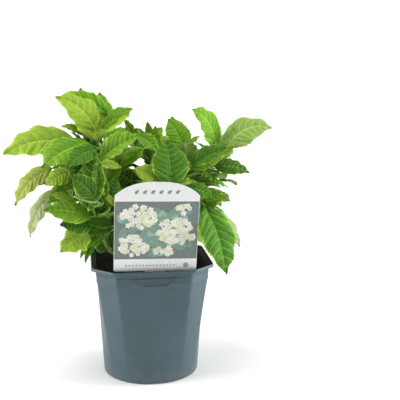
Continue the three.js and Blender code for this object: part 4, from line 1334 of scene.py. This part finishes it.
def soil_mesh():
    """Compost that fills the pot to its collar, with a lumpy top that dips from the middle."""
    turns = lathe_turns(8, (2.0,))
    profile = [(FLOOR + 0.4, 1.5), (FLOOR + 0.4, 40.0), (FLOOR + 0.4, 70.0), (40.0, 74.2),
               (100.0, 77.6), (159.6, 81.0), (164.0, 84.2)]
    radii = list(np.linspace(84.0, 2.0, 30))
    profile += [(SOIL_TOP, half) for half in radii]
    mesh = lathe("Soil", profile, turns, False)
    for vertex in mesh.vertices:
        if vertex.co.z > (SOIL_TOP - 0.5) * MM:
            spot = vertex.co * 1000
            rim = 1 - smooth(76, 84, math.hypot(spot.x, spot.y))
            lumps = noise.fractal(vertex.co * 90, 1.0, 2.0, 4) * 2.4
            fine = noise.fractal(vertex.co * 420, 1.0, 2.0, 3) * 0.8
            vertex.co.z += (lumps + fine - 0.6) * rim * MM
    face_outward(mesh)
    return mesh


def lump_mesh():
    """One rough crumb, eighty faces."""
    shape = bmesh.new()
    bmesh.ops.create_icosphere(shape, subdivisions=2, radius=1.0)
    for vertex in shape.verts:
        vertex.co *= 1 + 0.5 * noise.noise(vertex.co * 1.7) + 0.25 * noise.noise(vertex.co * 4)
    mesh = bpy.data.meshes.new("Lump")
    shape.to_mesh(mesh)
    shape.free()
    return mesh


def on_slope(x, rise, stand, lean, foot, pivot):
    """A point in metres on a slope up from a foot in y and z: the tilt turns it about the pivot."""
    c, s = math.cos(lean), math.sin(lean)
    high = rise - pivot
    x, rise = (x * math.cos(CARD_TILT) + high * math.sin(CARD_TILT),
               pivot + high * math.cos(CARD_TILT) - x * math.sin(CARD_TILT))
    y, z = foot
    return ((CARD_X + x) * MM, (y - rise * s - stand * c) * MM, (z + rise * c - stand * s) * MM)


def on_card(x, rise, stand):
    """A point on the card's viewer side: x across, rise up its face, stand off it."""
    pivot = (STAKE_BREAK - CARD_FOOT) / math.cos(CARD_LEAN)
    return on_slope(x, rise, stand, CARD_LEAN, (CARD_FOOT_Y, CARD_FOOT), pivot)


def card_outline():
    """The card's edge: a straight foot and sides with eased corners under a low crest."""
    half, corner = CARD_WIDTH / 2, CARD_CORNER
    shoulder = (CARD_SHOULDER - CARD_FOOT) / math.cos(CARD_LEAN)
    top = (CARD_TOP - CARD_FOOT) / math.cos(CARD_LEAN)
    points = []
    for first, middle in ((math.pi, -half + corner), (1.5 * math.pi, half - corner)):
        for turn in np.linspace(first, first + math.pi / 2, 6):
            points.append((middle + corner * math.cos(turn), corner + corner * math.sin(turn)))
    for x in half * np.cos(np.linspace(0, math.pi, 49)):
        points.append((x, shoulder + (top - shoulder) * (1 - abs(x / half) ** CREST_POWER) ** 0.92))
    return points


def plate_mesh(points):
    """The card's thin closed plate, its front edge eased."""
    half, ease = CARD_THICKNESS / 2, CARD_EASE
    count = len(points)
    middle = np.mean(points, axis=0)
    rings = []
    for stand, inset in ((-half, 0.0), (half - ease, 0.0), (half, ease)):
        ring = []
        for x, rise in points:
            away = np.array([x, rise]) - middle
            away *= 1 - inset / max(1.0, np.linalg.norm(away))
            ring.append(on_card(middle[0] + away[0], middle[1] + away[1], stand))
        rings.append(ring)
    vertices = [vertex for ring in rings for vertex in ring]
    faces = [tuple(range(count))]
    for low, high in ((0, count), (count, 2 * count)):
        faces += [(low + i, high + i, high + (i + 1) % count, low + (i + 1) % count)
                  for i in range(count)]
    faces.append(tuple(range(3 * count - 1, 2 * count - 1, -1)))
    return closed_skin("Card", vertices, faces)


def stake_mesh():
    """The pointed foot of the card that goes down into the soil."""
    bend = (CARD_FOOT_Y + (CARD_FOOT - STAKE_BREAK) * math.tan(CARD_LEAN), STAKE_BREAK)
    depth = (STAKE_BREAK - STAKE_FOOT) / math.cos(STAKE_LEAN)
    half = STAKE_WIDTH / 2
    lower = [(half, 0.0), (half, -depth / 2), (half / 3, -depth)]
    vertices = []
    for stand in (CARD_THICKNESS / 2, -CARD_THICKNESS / 2):
        right, left = ([on_card(sign * half, 0.6, stand)]
                       + [on_slope(sign * x, rise, stand, STAKE_LEAN, bend, 0) for x, rise in lower]
                       for sign in (1, -1))
        vertices += right + left[::-1]
    count = len(vertices) // 2
    faces = [(0, 1, 6, 7), (1, 2, 5, 6), (2, 3, 4, 5)]
    faces += [tuple(count + i for i in reversed(face)) for face in faces]
    faces += [(i, i + count, (i + 1) % count + count, (i + 1) % count) for i in range(count)]
    return closed_skin("Stake", vertices, faces)


def flat_shapes(name, shapes):
    """Printed shapes as thin fans on the card, each closed by its own underside."""
    stand = CARD_THICKNESS / 2
    vertices, faces = [], []
    for points, height in shapes:
        count, start = len(points), len(vertices)
        middle = np.mean(points, axis=0)
        vertices += [on_card(x, rise, stand + height) for x, rise in points]
        vertices.append(on_card(*middle, stand + height + INK))
        vertices.append(on_card(*middle, stand - 0.02))
        faces += [(start + i, start + (i + 1) % count, start + count) for i in range(count)]
        faces += [(start + (i + 1) % count, start + i, start + count + 1) for i in range(count)]
    return closed_skin(name, vertices, faces)


def petal_shape(x, rise, turn, length, width):
    """The outline of a petal from its foot, turned in the card's face."""
    ring = []
    for step in np.arange(10) / 10 * 2 * math.pi:
        out, side = length * (0.5 - 0.5 * math.cos(step)), width * 0.5 * math.sin(step)
        ring.append((x + out * math.cos(turn) - side * math.sin(turn),
                     rise + out * math.sin(turn) + side * math.cos(turn)))
    return ring


def leaf_shape(x, rise, turn, length, width):
    """The outline of a leaf from its foot, turned in the card's face."""
    left, right = [], []
    for s in np.arange(1, 10) / 10:
        side = width * 0.5 * float(outline(s))
        for sign, ring in ((1, left), (-1, right)):
            ring.append((x + s * length * math.cos(turn) - sign * side * math.sin(turn),
                         rise + s * length * math.sin(turn) + sign * side * math.cos(turn)))
    foot = (x, rise)
    tip = (x + length * math.cos(turn), rise + length * math.sin(turn))
    return [foot] + right + [tip] + list(reversed(left))


def round_shape(x, rise, radius, sides):
    return [(x + radius * math.cos(a), rise + radius * math.sin(a))
            for a in np.arange(sides) * 2 * math.pi / sides]


def print_finish(name, colour, variety=0.12, gloss=0.3):
    """Ink on plastic: a faint dot screen and uneven density under a thin gloss."""
    finish = Finish(name, Specular_IOR_Level=0.5, Coat_Weight=0.25)
    density = finish.noise(130, 3.0)
    screen = finish.cells(1900)
    thin, full = shade(colour, 1 - variety), shade(colour, 1 + variety)
    finish.body = finish.mix(density.between(0.3, 0.7), thin, full)
    finish.lay(screen.between(0.1, 0.5) * 0.12, (0.85, 0.86, 0.84))
    return finish.done(gloss + density * 0.12, finish.noise(60, 2.0), 0.05, 0.0004)


def card_picture():
    """A made-up picture for the card: a bank of leaves with little five-petalled flowers."""
    random = seeded(41)
    low, high = PICTURE_FOOT, PICTURE_TOP
    half = CARD_WIDTH / 2 - PICTURE_EDGE
    leaves_dark, leaves_pale, petals, petals_cream, eyes = [], [], [], [], []
    for i in range(PICTURE_LEAVES):
        x, rise = mix(-half + 8, half - 8, random()), mix(low + 5, high - 8, random())
        turn, length = 6.283 * random(), mix(12, 22, random())
        end_x, end_rise = x + length * math.cos(turn), rise + length * math.sin(turn)
        if abs(end_x) > half - 3 or not low + 3 < end_rise < high - 3:
            continue
        shape = leaf_shape(x, rise, turn, length, length * 0.55)
        (leaves_dark if i % 3 else leaves_pale).append((shape, INK + 0.0005 * i))
    spots = []
    for x, rise, spread, count in FLOWER_HEADS:
        for _ in range(count):
            away, turn = spread * math.sqrt(random()), 6.283 * random()
            spots.append((x + away * math.cos(turn) * 1.15, rise + away * math.sin(turn) * 0.8))
    for number, (x, rise) in enumerate(spots):
        size, turn = mix(3.4, 4.9, random()), 6.283 * random()
        if abs(x) > half - 6 or not low + 6 < rise < high - 6:
            continue
        height = 0.11 + 0.0008 * number
        bunch = petals if number % 3 else petals_cream
        for petal in range(5):
            around = turn + petal * 2 * math.pi / 5
            bunch.append((petal_shape(x, rise, around, size, size * 0.8), height))
        eyes.append((round_shape(x, rise, 0.6, 6), height + 0.05))
    field = [(-half, low), (half, low), (half, high), (-half, high)]
    top_marks = [(leaf_shape(x - 3.4, TOP_MARKS, 0.75, 8.5, 5.2), INK) for x in range(-30, 31, 12)]
    foot_marks = [(petal_shape(-46 + 5.2 * i, FOOT_MARKS, 0.0, 3.4, 2.2), INK) for i in range(15)]
    foot_marks.append((round_shape(46, FOOT_MARKS, 4.2, 20), INK))
    return [
        ("Card_field", [(field, 0.02)], (0.045, 0.085, 0.075)),
        ("Card_leaf_dark", leaves_dark, (0.075, 0.2, 0.13)),
        ("Card_leaf_pale", leaves_pale, (0.16, 0.36, 0.24)),
        ("Card_petal_white", petals, (0.72, 0.7, 0.62)),
        ("Card_petal_cream", petals_cream, (0.62, 0.63, 0.4)),
        ("Card_eye", eyes, (0.35, 0.36, 0.12)),
        ("Card_mark_top", top_marks, (0.11, 0.17, 0.14)),
        ("Card_mark_foot", foot_marks, (0.2, 0.22, 0.22)),
    ]


# The woody parts.

def bark_finish(look):
    """Pale flaking bark with long furrows, darker in its cracks."""
    colour = look.bark_colour[:3]
    finish = Finish("Bark", Specular_IOR_Level=0.25)
    furrow = finish.noise(1.0, 5.0, 0.65, finish.stretched((420, 420, 90)), 0.8)
    flake = finish.cells(1.0, "DISTANCE_TO_EDGE", finish.stretched((260, 260, 80)))
    crack = 1 - flake.between(0.02, 0.16)
    finish.body = finish.mix(furrow.between(0.3, 0.7), shade(colour, 0.6), shade(colour, 1.3))
    finish.lay(crack * 0.7, shade(colour, 0.25))
    finish.lay(finish.noise(90, 3.0).between(0.58, 0.72) * 0.5, (0.13, 0.15, 0.07))
    return finish.done(0.75 + furrow * 0.2, furrow - crack, 0.9, 0.001)


def cane_finish(look, name, dark, light, corky):
    """Smooth green cane that turns woody below, dotted with small corky spots."""
    finish = Finish(name, Specular_IOR_Level=0.4)
    ribs = finish.noise(1.0, 3.0, where=finish.stretched((520, 520, 40)))
    finish.body = finish.mix(ribs.between(0.3, 0.7), dark, light)
    height = finish.parts(finish.here)[2]
    woody = 1 - (height + (finish.noise(60, 3.0) - 0.5) * 0.05).between(0.19, 0.25)
    wood = finish.mix(ribs, shade(look.bark_colour, 0.7), shade(look.bark_colour, 1.2))
    finish.lay(woody * corky, wood)
    spots = 1 - finish.cells(1.0, where=finish.stretched((520, 520, 330))).between(0.16, 0.3)
    finish.lay(spots * 0.75 * corky, (0.3, 0.22, 0.12))
    dull = 0.42 + ribs * 0.16 + woody * 0.25
    return finish.done(dull, spots * 0.6 + ribs * 0.5, 0.5, 0.0004)


def crown_mesh():
    """The knobbly foot of the shrub, flared at the soil, with a swelling under each cane."""
    around, rows = 96, 40
    heights = np.linspace(-5, CROWN_HEIGHT - 2.5, rows)
    turns = np.arange(around) * 2 * math.pi / around
    bearings = [math.radians(shoot["turn"]) for shoot in SHOOTS
                if "bearer" not in shoot and shoot.get("ring", 1)]
    vertices = []
    for h in heights:
        level = max(0.0, h / CROWN_HEIGHT)
        shut = math.sqrt(max(0.0, 1 - smooth(0.62, 0.9, level) ** 2 * 0.93))
        base = mix(CROWN_FOOT, CROWN_NECK, smooth(0, 0.6, level)) * shut - 1.2
        for turn in turns:
            swell = sum(1.7 * math.exp(-((math.remainder(turn - b, 2 * math.pi) / 0.2) ** 2))
                        for b in bearings) * smooth(0.2, 0.6, level)
            x, y = math.cos(turn), math.sin(turn)
            spot = Vector((x * 2.2, y * 2.2, h * 0.09))
            knob = noise.fractal(spot, 1.0, 2.0, 4) * 1.5
            knob += noise.noise(Vector((x * 9, y * 9, h * 0.12)))
            radius = base + (swell + 0.7 * knob) * (1 - smooth(0.7, 0.9, level) * 0.7)
            vertices.append(((CROWN_X + radius * x) * MM, (CROWN_Y + radius * y) * MM,
                             (SOIL_TOP + h) * MM))
    faces = [face for r in range(rows - 1) for face in band(r * around, (r + 1) * around, around)]
    low, high = len(vertices), len(vertices) + 1
    vertices += [(CROWN_X * MM, CROWN_Y * MM, (SOIL_TOP - 5) * MM),
                 (CROWN_X * MM, CROWN_Y * MM, (SOIL_TOP + CROWN_HEIGHT - 2) * MM)]
    faces += [((i + 1) % around, i, low) for i in range(around)]
    top = (rows - 1) * around
    faces += [(top + i, top + (i + 1) % around, high) for i in range(around)]
    mesh = closed_skin("Crown", vertices, faces)
    smooth_above(mesh, 60)
    return mesh


def swellings(at, joints, length, height, reach):
    """How much thicker a stem is along its length, round each of its joints."""
    return sum(height * np.exp(-(((at - joint) * length / reach) ** 2)) for joint in joints)


def limb_paths(limbs):
    """Canes and side stems: swollen at the joints, slimmer between them."""
    paths = []
    for shoot in SHOOTS:
        points = limbs[shoot["name"]]
        foot, tip = shoot_line(shoot)
        at = np.linspace(0, 1, 64)
        line = bezier(points, at)
        length = np.linalg.norm(np.diff(line, axis=0), axis=1).sum()
        joints = np.arange(0.35, 1.0, 30 / length)
        thick = mix(CANE_FOOT, CANE_TIP, at) * 0.97
        if "bearer" in shoot:
            thick = mix(CANE_TIP + 0.5, CANE_TIP, at)
        thick = thick + swellings(at, joints, length, 0.45, 2.6)
        paths.append((np.vstack([line, foot + 0.4 * unit(tip - foot)]), np.append(thick, CANE_TIP)))
    return paths


def shoot_paths():
    """Green shoots with a swelling at each pair, and the bud each ends in."""
    paths = []
    for shoot in SHOOTS:
        foot, tip = shoot_line(shoot)
        along, length = unit(tip - foot), np.linalg.norm(tip - foot)
        at = np.linspace(0, 1, 48)
        thick = mix(SHOOT_FOOT, SHOOT_TIP, at)
        thick = thick + swellings(at, PAIRS, length, 0.55, 2.2)
        bow = np.cross(along, [0, 1, 0]) * 0.5
        line = foot + (tip - foot) * at[:, None] + bow * np.sin(at * 3.1416 * 3)[:, None] * 0.4
        bud = tip + along * np.linspace(0.5, 7.5, 10)[:, None]
        plump = 1.9 * np.sin(np.linspace(0.35, math.pi - 0.08, 10)) ** 0.8
        paths.append((np.vstack([line, bud]), np.concatenate([thick, plump])))
    return paths


def stalk_paths(leaves):
    """Each leaf's stalk, swung out from its shoot and run on as the midrib under the blade."""
    paths = []
    for leaf in leaves:
        if leaf.get("young"):
            continue
        scale = 0.55 + 0.45 * min(1.0, leaf["length"] / 80)
        begin = np.array(leaf["root"], float)
        base = np.array(leaf["base"], float)
        out = heading(leaf["bearing"], leaf["rise"])
        reach = np.linalg.norm(base - begin)
        leave = unit(unit(base - begin) + np.array([0, 0, 0.6]))
        t = np.linspace(0, 1, 12)
        stalk = bezier([begin, begin + leave * reach * 0.4, base - out * reach * 0.4, base], t)
        s = np.concatenate([np.linspace(0.03, 0.2, 4), np.linspace(0.27, 0.88, 9)])
        rib, facing = blade(leaf, s, np.zeros(len(s)))
        thin = scale * mix(1.25, 0.3, (s / 0.88) ** 0.7)
        sunk = rib - facing * (thin + 0.0035 * leaf["length"] * (1 - s) + 0.1)[:, None]
        under = np.linspace(0, 1, 12)[:, None] * (facing[0] * -(thin[0] * 0.6))
        paths.append((np.vstack([stalk + under, sunk]),
                      np.concatenate([scale * mix(1.75, 1.3, t), thin])))
    return paths


def stems(name, paths, scene, skin, dark, light, corky, sides, ripple, grain):
    """Round stems along paths as one piece, in a skin that is a shade of the shrub's green."""
    green = scene.hydrangea_leaves.stalk_green
    finish = cane_finish(scene.hydrangea_pot, skin, shade(green, dark), shade(green, light), corky)
    return grown_by(name, lines_mesh(name + "_lines", paths), stem_tree(), {
        "Sides": sides, "Ripple": ripple, "Grain": grain, "Material": finish})


def all_limbs():
    """The curve of the limb under each shoot, by the shoot's name."""
    limbs = {}
    for shoot in SHOOTS:
        limbs[shoot["name"]] = limb_points(shoot, limbs)
    return limbs


# What a user would change.

def tint(name, description, default):
    """A colour that a user may change."""
    return bpy.props.FloatVectorProperty(name=name, description=description, subtype="COLOR",
                                         size=3, min=0, max=1, default=default)


def share(name, description, default, most):
    """An amount from nothing to the most that looks right."""
    return bpy.props.FloatProperty(name=name, description=description, default=default, min=0,
                                   max=most)


def watts(name, description, default):
    """A lamp's power."""
    return bpy.props.FloatProperty(name=name, description=description, default=default, min=0,
                                   unit="POWER")


class HydrangeaLeaves(bpy.types.PropertyGroup):
    """Sizes and colours of the leaves."""

    vein_pairs: bpy.props.IntProperty(
        name="Vein pairs", description="Side veins on each half of a leaf",
        default=8, min=4, max=12)
    leaf_thickness: bpy.props.FloatProperty(
        name="Thickness", description="Thickness of a leaf at its middle", default=0.0005,
        min=0.0001, max=0.002, unit="LENGTH", precision=4)
    quilting: share("Quilting", "Height of the swellings between veins, as a share of the length",
                    0.026, 0.05)
    waviness: share("Waviness", "Sway of the margin, as a share of the length", 0.022, 0.06)
    tooth_depth: share("Tooth depth", "Depth of the teeth, as a share of the half width", 0.14, 0.2)
    fresh_green: tint("Fresh green", "Grown leaves in full light", (0.125, 0.33, 0.013))
    lime_green: tint("Lime green", "The newest grown leaves and the margins", (0.35, 0.56, 0.042))
    deep_green: tint("Deep green", "Shaded and older leaves", (0.042, 0.155, 0.008))
    under_green: tint("Underside green", "The pale back of a leaf", (0.31, 0.47, 0.1))
    stalk_green: tint("Stalk green", "Shoots, stalks and midribs", (0.22, 0.4, 0.06))


class HydrangeaPot(bpy.types.PropertyGroup):
    """Colours and wear of the pot, soil, wood and card."""

    pot_colour: tint("Pot", "The moulded plastic", (0.045, 0.083, 0.098))
    pot_dust: share("Dust", "Dried splashes and dust on the pot", 0.35, 1)
    soil_colour: tint("Soil", "Moist compost", (0.022, 0.014, 0.009))
    crumb_density: bpy.props.FloatProperty(
        name="Crumbs", description="Crumbs on a square metre of soil", default=42000, min=0)
    bark_colour: tint("Bark", "The woody foot and old canes", (0.25, 0.19, 0.11))
    card_colour: tint("Card", "Bare plastic of the card", (0.74, 0.75, 0.74))


class HydrangeaStage(bpy.types.PropertyGroup):
    """Floor and light."""

    floor_colour: tint("Floor", "The sweep that the pot stands on", (0.87, 0.87, 0.87))
    key_power: watts("Key light", "Power of the large lamp at the upper left", 24)
    fill_power: watts("Side light", "Power of the lamps at the left and right", 12)


# One operator for each piece or group of like pieces.

class HYDRANGEA_OT_pot(bpy.types.Operator):
    """Make the moulded nursery pot with its mark, arches and drain holes"""

    bl_idname = "hydrangea.pot"
    bl_label = "Pot"

    def execute(self, context):
        look = context.scene.hydrangea_pot
        wall = in_scene("Wall", lathe("Wall", pot_profile(), lathe_turns(), True))
        face_outward(wall.data)
        cuts = in_scene("Pot_cuts", pot_cuts())
        carve = wall.modifiers.new("Carve", "BOOLEAN")
        carve.operation, carve.solver, carve.object = "DIFFERENCE", "EXACT", cuts
        carved = bpy.data.meshes.new_from_object(
            wall.evaluated_get(context.evaluated_depsgraph_get()))
        bpy.data.objects.remove(wall)
        bpy.data.objects.remove(cuts)
        smooth_above(carved, 38)
        tab = tab_mesh()
        smooth_above(tab, 20)
        of_tab = len(tab.polygons)
        pot = joined("Nursery_pot", in_scene("Pot_wall", carved), in_scene("Tab", tab))
        pot.data.materials.clear()
        # The tab's finish is the pot's plastic at 0.86 of its brightness: painted shade that stands
        # for the shadow round the raised mark.
        for finish in (plastic_finish(look), shaded_inside_finish(look),
                       plastic_finish(look, "Tab_plastic", 0.86)):
            pot.data.materials.append(finish)
        of_wall = len(pot.data.polygons) - of_tab
        # Inner-wall faces between the two heights take the painted shade finish; the tab takes its
        # own.
        for number, face in enumerate(pot.data.polygons):
            outward = face.normal.xy.dot(face.center.xy)
            in_painted_shade = outward < -0.2 * face.center.length
            in_painted_shade = in_painted_shade and INSIDE_SHADE_FOOT * MM < face.center.z < INSIDE_SHADE_TOP * MM
            face.material_index = 2 if number >= of_wall else int(in_painted_shade)
        settle(pot, "pot", "pot")
        return {"FINISHED"}


class HYDRANGEA_OT_soil(bpy.types.Operator):
    """Fill the pot with compost and strew crumbs over it"""

    bl_idname = "hydrangea.soil"
    bl_label = "Soil"

    def execute(self, context):
        look = context.scene.hydrangea_pot
        peat = soil_finish(look)
        mesh = soil_mesh()
        mesh.materials.append(peat)
        smooth_above(mesh, 50)
        settle(in_scene("Compost", mesh), "soil", "potting_soil")
        top = mesh.copy()
        shape = bmesh.new()
        shape.from_mesh(top)
        middles = [(face, face.calc_center_median()) for face in shape.faces]
        hidden = [face for face, middle in middles
                  if middle.z < CRUMB_FOOT * MM or math.hypot(*middle.xy) > CRUMB_EDGE * MM]
        bmesh.ops.delete(shape, geom=hidden, context="FACES")
        shape.to_mesh(top)
        shape.free()
        lump = in_scene("Lump", lump_mesh())
        crumbs = grown_by("Compost_crumbs", top, scatter_tree(), {
            "Density": look.crumb_density, "Object": lump,
            "Material": soil_finish(look, "Soil_crumb", 1.5)})
        bpy.data.objects.remove(lump)
        smooth_all(crumbs.data)
        settle(crumbs, "soil")
        return {"FINISHED"}


class HYDRANGEA_OT_card(bpy.types.Operator):
    """Make the card on its stake, with a made-up picture of leaves and small flowers"""

    bl_idname = "hydrangea.card"
    bl_label = "Card"

    def execute(self, context):
        look = context.scene.hydrangea_pot
        white = print_finish("Card_plastic", look.card_colour, 0.03, 0.34)
        plate = in_scene("Card_plate", plate_mesh(card_outline()))
        stake = in_scene("Card_stake", stake_mesh())
        plate.data.materials.append(white)
        stake.data.materials.append(white)
        card = joined("Picture_card", plate, stake)
        smooth_above(card.data, 30)
        settle(card, "card", "plant_card")
        sheets = []
        for name, shapes, colour in card_picture():
            mesh = flat_shapes(name, shapes)
            mesh.materials.append(print_finish(name, colour))
            sheets.append(in_scene(name, mesh))
        settle(joined("Card_print", *sheets), "card")
        return {"FINISHED"}


class HYDRANGEA_OT_wood(bpy.types.Operator):
    """Make the woody foot, and the canes and side stems that rise from it"""

    bl_idname = "hydrangea.wood"
    bl_label = "Foot and canes"

    def execute(self, context):
        scene = context.scene
        foot = in_scene("Woody_foot", crown_mesh())
        foot.data.materials.append(bark_finish(scene.hydrangea_pot))
        settle(foot, "wood", "crown")
        canes = stems("Canes", limb_paths(all_limbs()), scene, "Cane_skin", 0.45, 0.8, 1.0,
                      sides=14, ripple=0.0005, grain=300.0)
        nodes = [("side_stem_" if "bearer" in shoot else "cane_") + shoot["name"]
                 for shoot in SHOOTS]
        settle(canes, "cane", *nodes)
        return {"FINISHED"}


class HYDRANGEA_OT_foliage(bpy.types.Operator):
    """Grow the leaves by the shrub's rule, with their shoots, buds and stalks"""

    bl_idname = "hydrangea.foliage"
    bl_label = "Foliage"

    def execute(self, context):
        scene = context.scene
        looks = scene.hydrangea_leaves
        leaves = grow_finer(all_limbs())
        deal_looks(leaves)
        finishes = foliage_finishes(looks)
        for shoot in SHOOTS:
            own = [leaf for leaf in leaves if leaf["shoot"] == shoot["name"]]
            mesh = foliage_mesh("Leaves_" + shoot["name"], own, looks, finishes)
            settle(in_scene(mesh.name, mesh), "leaf", "foliage_" + shoot["name"])
        shoots = stems("Shoots_and_buds", shoot_paths(), scene, "Shoot_skin", 0.55, 0.95, 0.25,
                       sides=12, ripple=0.0003, grain=400.0)
        settle(shoots, "leaf")
        stalks = stems("Leaf_stalks", stalk_paths(leaves), scene, "Stalk_skin", 0.75, 1.2, 0.0,
                       sides=6, ripple=0.0001, grain=500.0)
        settle(stalks, "leaf")
        return {"FINISHED"}


class HYDRANGEA_OT_stage(bpy.types.Operator):
    """Lay the pale sweep and set the light and the camera"""

    bl_idname = "hydrangea.stage"
    bl_label = "Stage"

    def execute(self, context):
        stage = context.scene.hydrangea_stage
        flat, bend = SWEEP_FLAT, SWEEP_BEND
        section = [(r, 0.0) for r in np.linspace(0.25, flat, 12)]
        section += [(flat + bend * math.sin(a), bend - bend * math.cos(a))
                    for a in np.linspace(0, math.pi / 2, 17)[1:]]
        section += [(flat + bend, z) for z in np.linspace(bend + 0.3, SWEEP_TOP, 8)]
        around, count = SWEEP_SIDES, len(section)
        vertices = [(r * math.cos(turn), r * math.sin(turn), z)
                    for turn in np.linspace(0, 2 * math.pi, around, endpoint=False)
                    for r, z in section] + [(0.0, 0.0, 0.0)]
        faces = []
        for turn in range(around):
            here, after = turn * count, (turn + 1) % around * count
            faces.append((here, after, around * count))
            faces += [(here + i, here + i + 1, after + i + 1, after + i) for i in range(count - 1)]
        mesh = skin_of("Sweep", vertices, faces)
        smooth_all(mesh)
        finish = Finish("Sweep_paper", Specular_IOR_Level=0.1)
        across, along, height = finish.parts(finish.here)
        wall = height.between(0.05, 0.8)
        behind = along.between(-1.6, 1.6)
        rim = (across * across + along * along).between(0.9, 3.6) * along.between(-1.3, 0.5)
        floor = stage.floor_colour[:3]
        # The wall is painted darker towards the camera, as painted shade.
        finish.body = finish.mix(wall, floor, finish.mix(behind, shade(floor, 0.55), floor))
        finish.lay(finish.noise(3, 2.0) * 0.02, shade(floor, 0.5))
        mesh.materials.append(finish.done(0.9, finish.noise(900, 2.0), 0.05, 0.0003))
        # The sweep glows as painted light: faintly near the pot and most on the far floor and wall
        # behind it.
        glow = finish.mix(rim, (0.1, 0.1, 0.1), (1, 1, 1))
        finish.feed(finish.shader.inputs["Emission Color"], glow)
        finish.shader.inputs["Emission Strength"].default_value = RIM_GLOW
        in_scene("Sweep", mesh)

        def placed(name, data, place, aim):
            item = bpy.data.objects.new(name, data)
            item.location = place
            item.rotation_euler = (Vector(aim) - item.location).to_track_quat("-Z", "Y").to_euler()
            context.scene.collection.objects.link(item)
            return item

        for name, place, power, size in (
                ("Key", KEY_PLACE, stage.key_power, 1.1),
                ("Left", LEFT_PLACE, stage.fill_power * LEFT_SHARE, 0.9),
                ("Right", RIGHT_PLACE, stage.fill_power * RIGHT_SHARE, 0.9)):
            light = bpy.data.lights.new(name, "AREA")
            light.energy, light.size = power, size
            placed(name, light, place, LIGHT_AIM)
        world = bpy.data.worlds.new("Studio")
        world.use_nodes = True
        sky = world.node_tree.nodes["Background"]
        sky.inputs["Color"].default_value = (1, 1, 1, 1)
        sky.inputs["Strength"].default_value = SKY_STRENGTH
        context.scene.world = world
        context.scene.view_settings.view_transform = "Standard"

        camera = bpy.data.cameras.new("Camera")
        camera.lens, camera.sensor_width = CAMERA_LENS, SENSOR_WIDTH
        camera.clip_start, camera.clip_end = CAMERA_SEES
        context.scene.camera = placed("Camera", camera, CAMERA_PLACE, CAMERA_AIM)
        return {"FINISHED"}


class HYDRANGEA_PT_panel(bpy.types.Panel):
    """The shrub's pieces, with the sizes and colours they are made from"""

    bl_idname = "HYDRANGEA_PT_panel"
    bl_label = "Potted Hydrangea"
    bl_space_type = "VIEW_3D"
    bl_region_type = "UI"
    bl_category = "Hydrangea"

    def draw(self, context):
        scene = context.scene
        for group, operators in (
                (scene.hydrangea_stage, ("stage",)),
                (scene.hydrangea_pot, ("pot", "soil", "card", "wood")),
                (scene.hydrangea_leaves, ("foliage",))):
            box = self.layout.box()
            for name in group.__annotations__:
                box.prop(group, name)
            for operator in operators:
                box.operator("hydrangea." + operator)


GROUPS = {"hydrangea_leaves": HydrangeaLeaves, "hydrangea_pot": HydrangeaPot,
          "hydrangea_stage": HydrangeaStage}
CLASSES = (
    *GROUPS.values(), HYDRANGEA_OT_pot, HYDRANGEA_OT_soil, HYDRANGEA_OT_card, HYDRANGEA_OT_wood,
    HYDRANGEA_OT_foliage, HYDRANGEA_OT_stage, HYDRANGEA_PT_panel,
)


def register():
    for each in CLASSES:
        bpy.utils.register_class(each)
    for name, group in GROUPS.items():
        setattr(bpy.types.Scene, name, bpy.props.PointerProperty(type=group))


def unregister():
    for name in GROUPS:
        delattr(bpy.types.Scene, name)
    for each in reversed(CLASSES):
        bpy.utils.unregister_class(each)


def main():
    register()
    bpy.ops.hydrangea.stage()
    bpy.ops.hydrangea.pot()
    bpy.ops.hydrangea.soil()
    bpy.ops.hydrangea.card()
    bpy.ops.hydrangea.wood()
    bpy.ops.hydrangea.foliage()


if __name__ == "__main__":
    main()
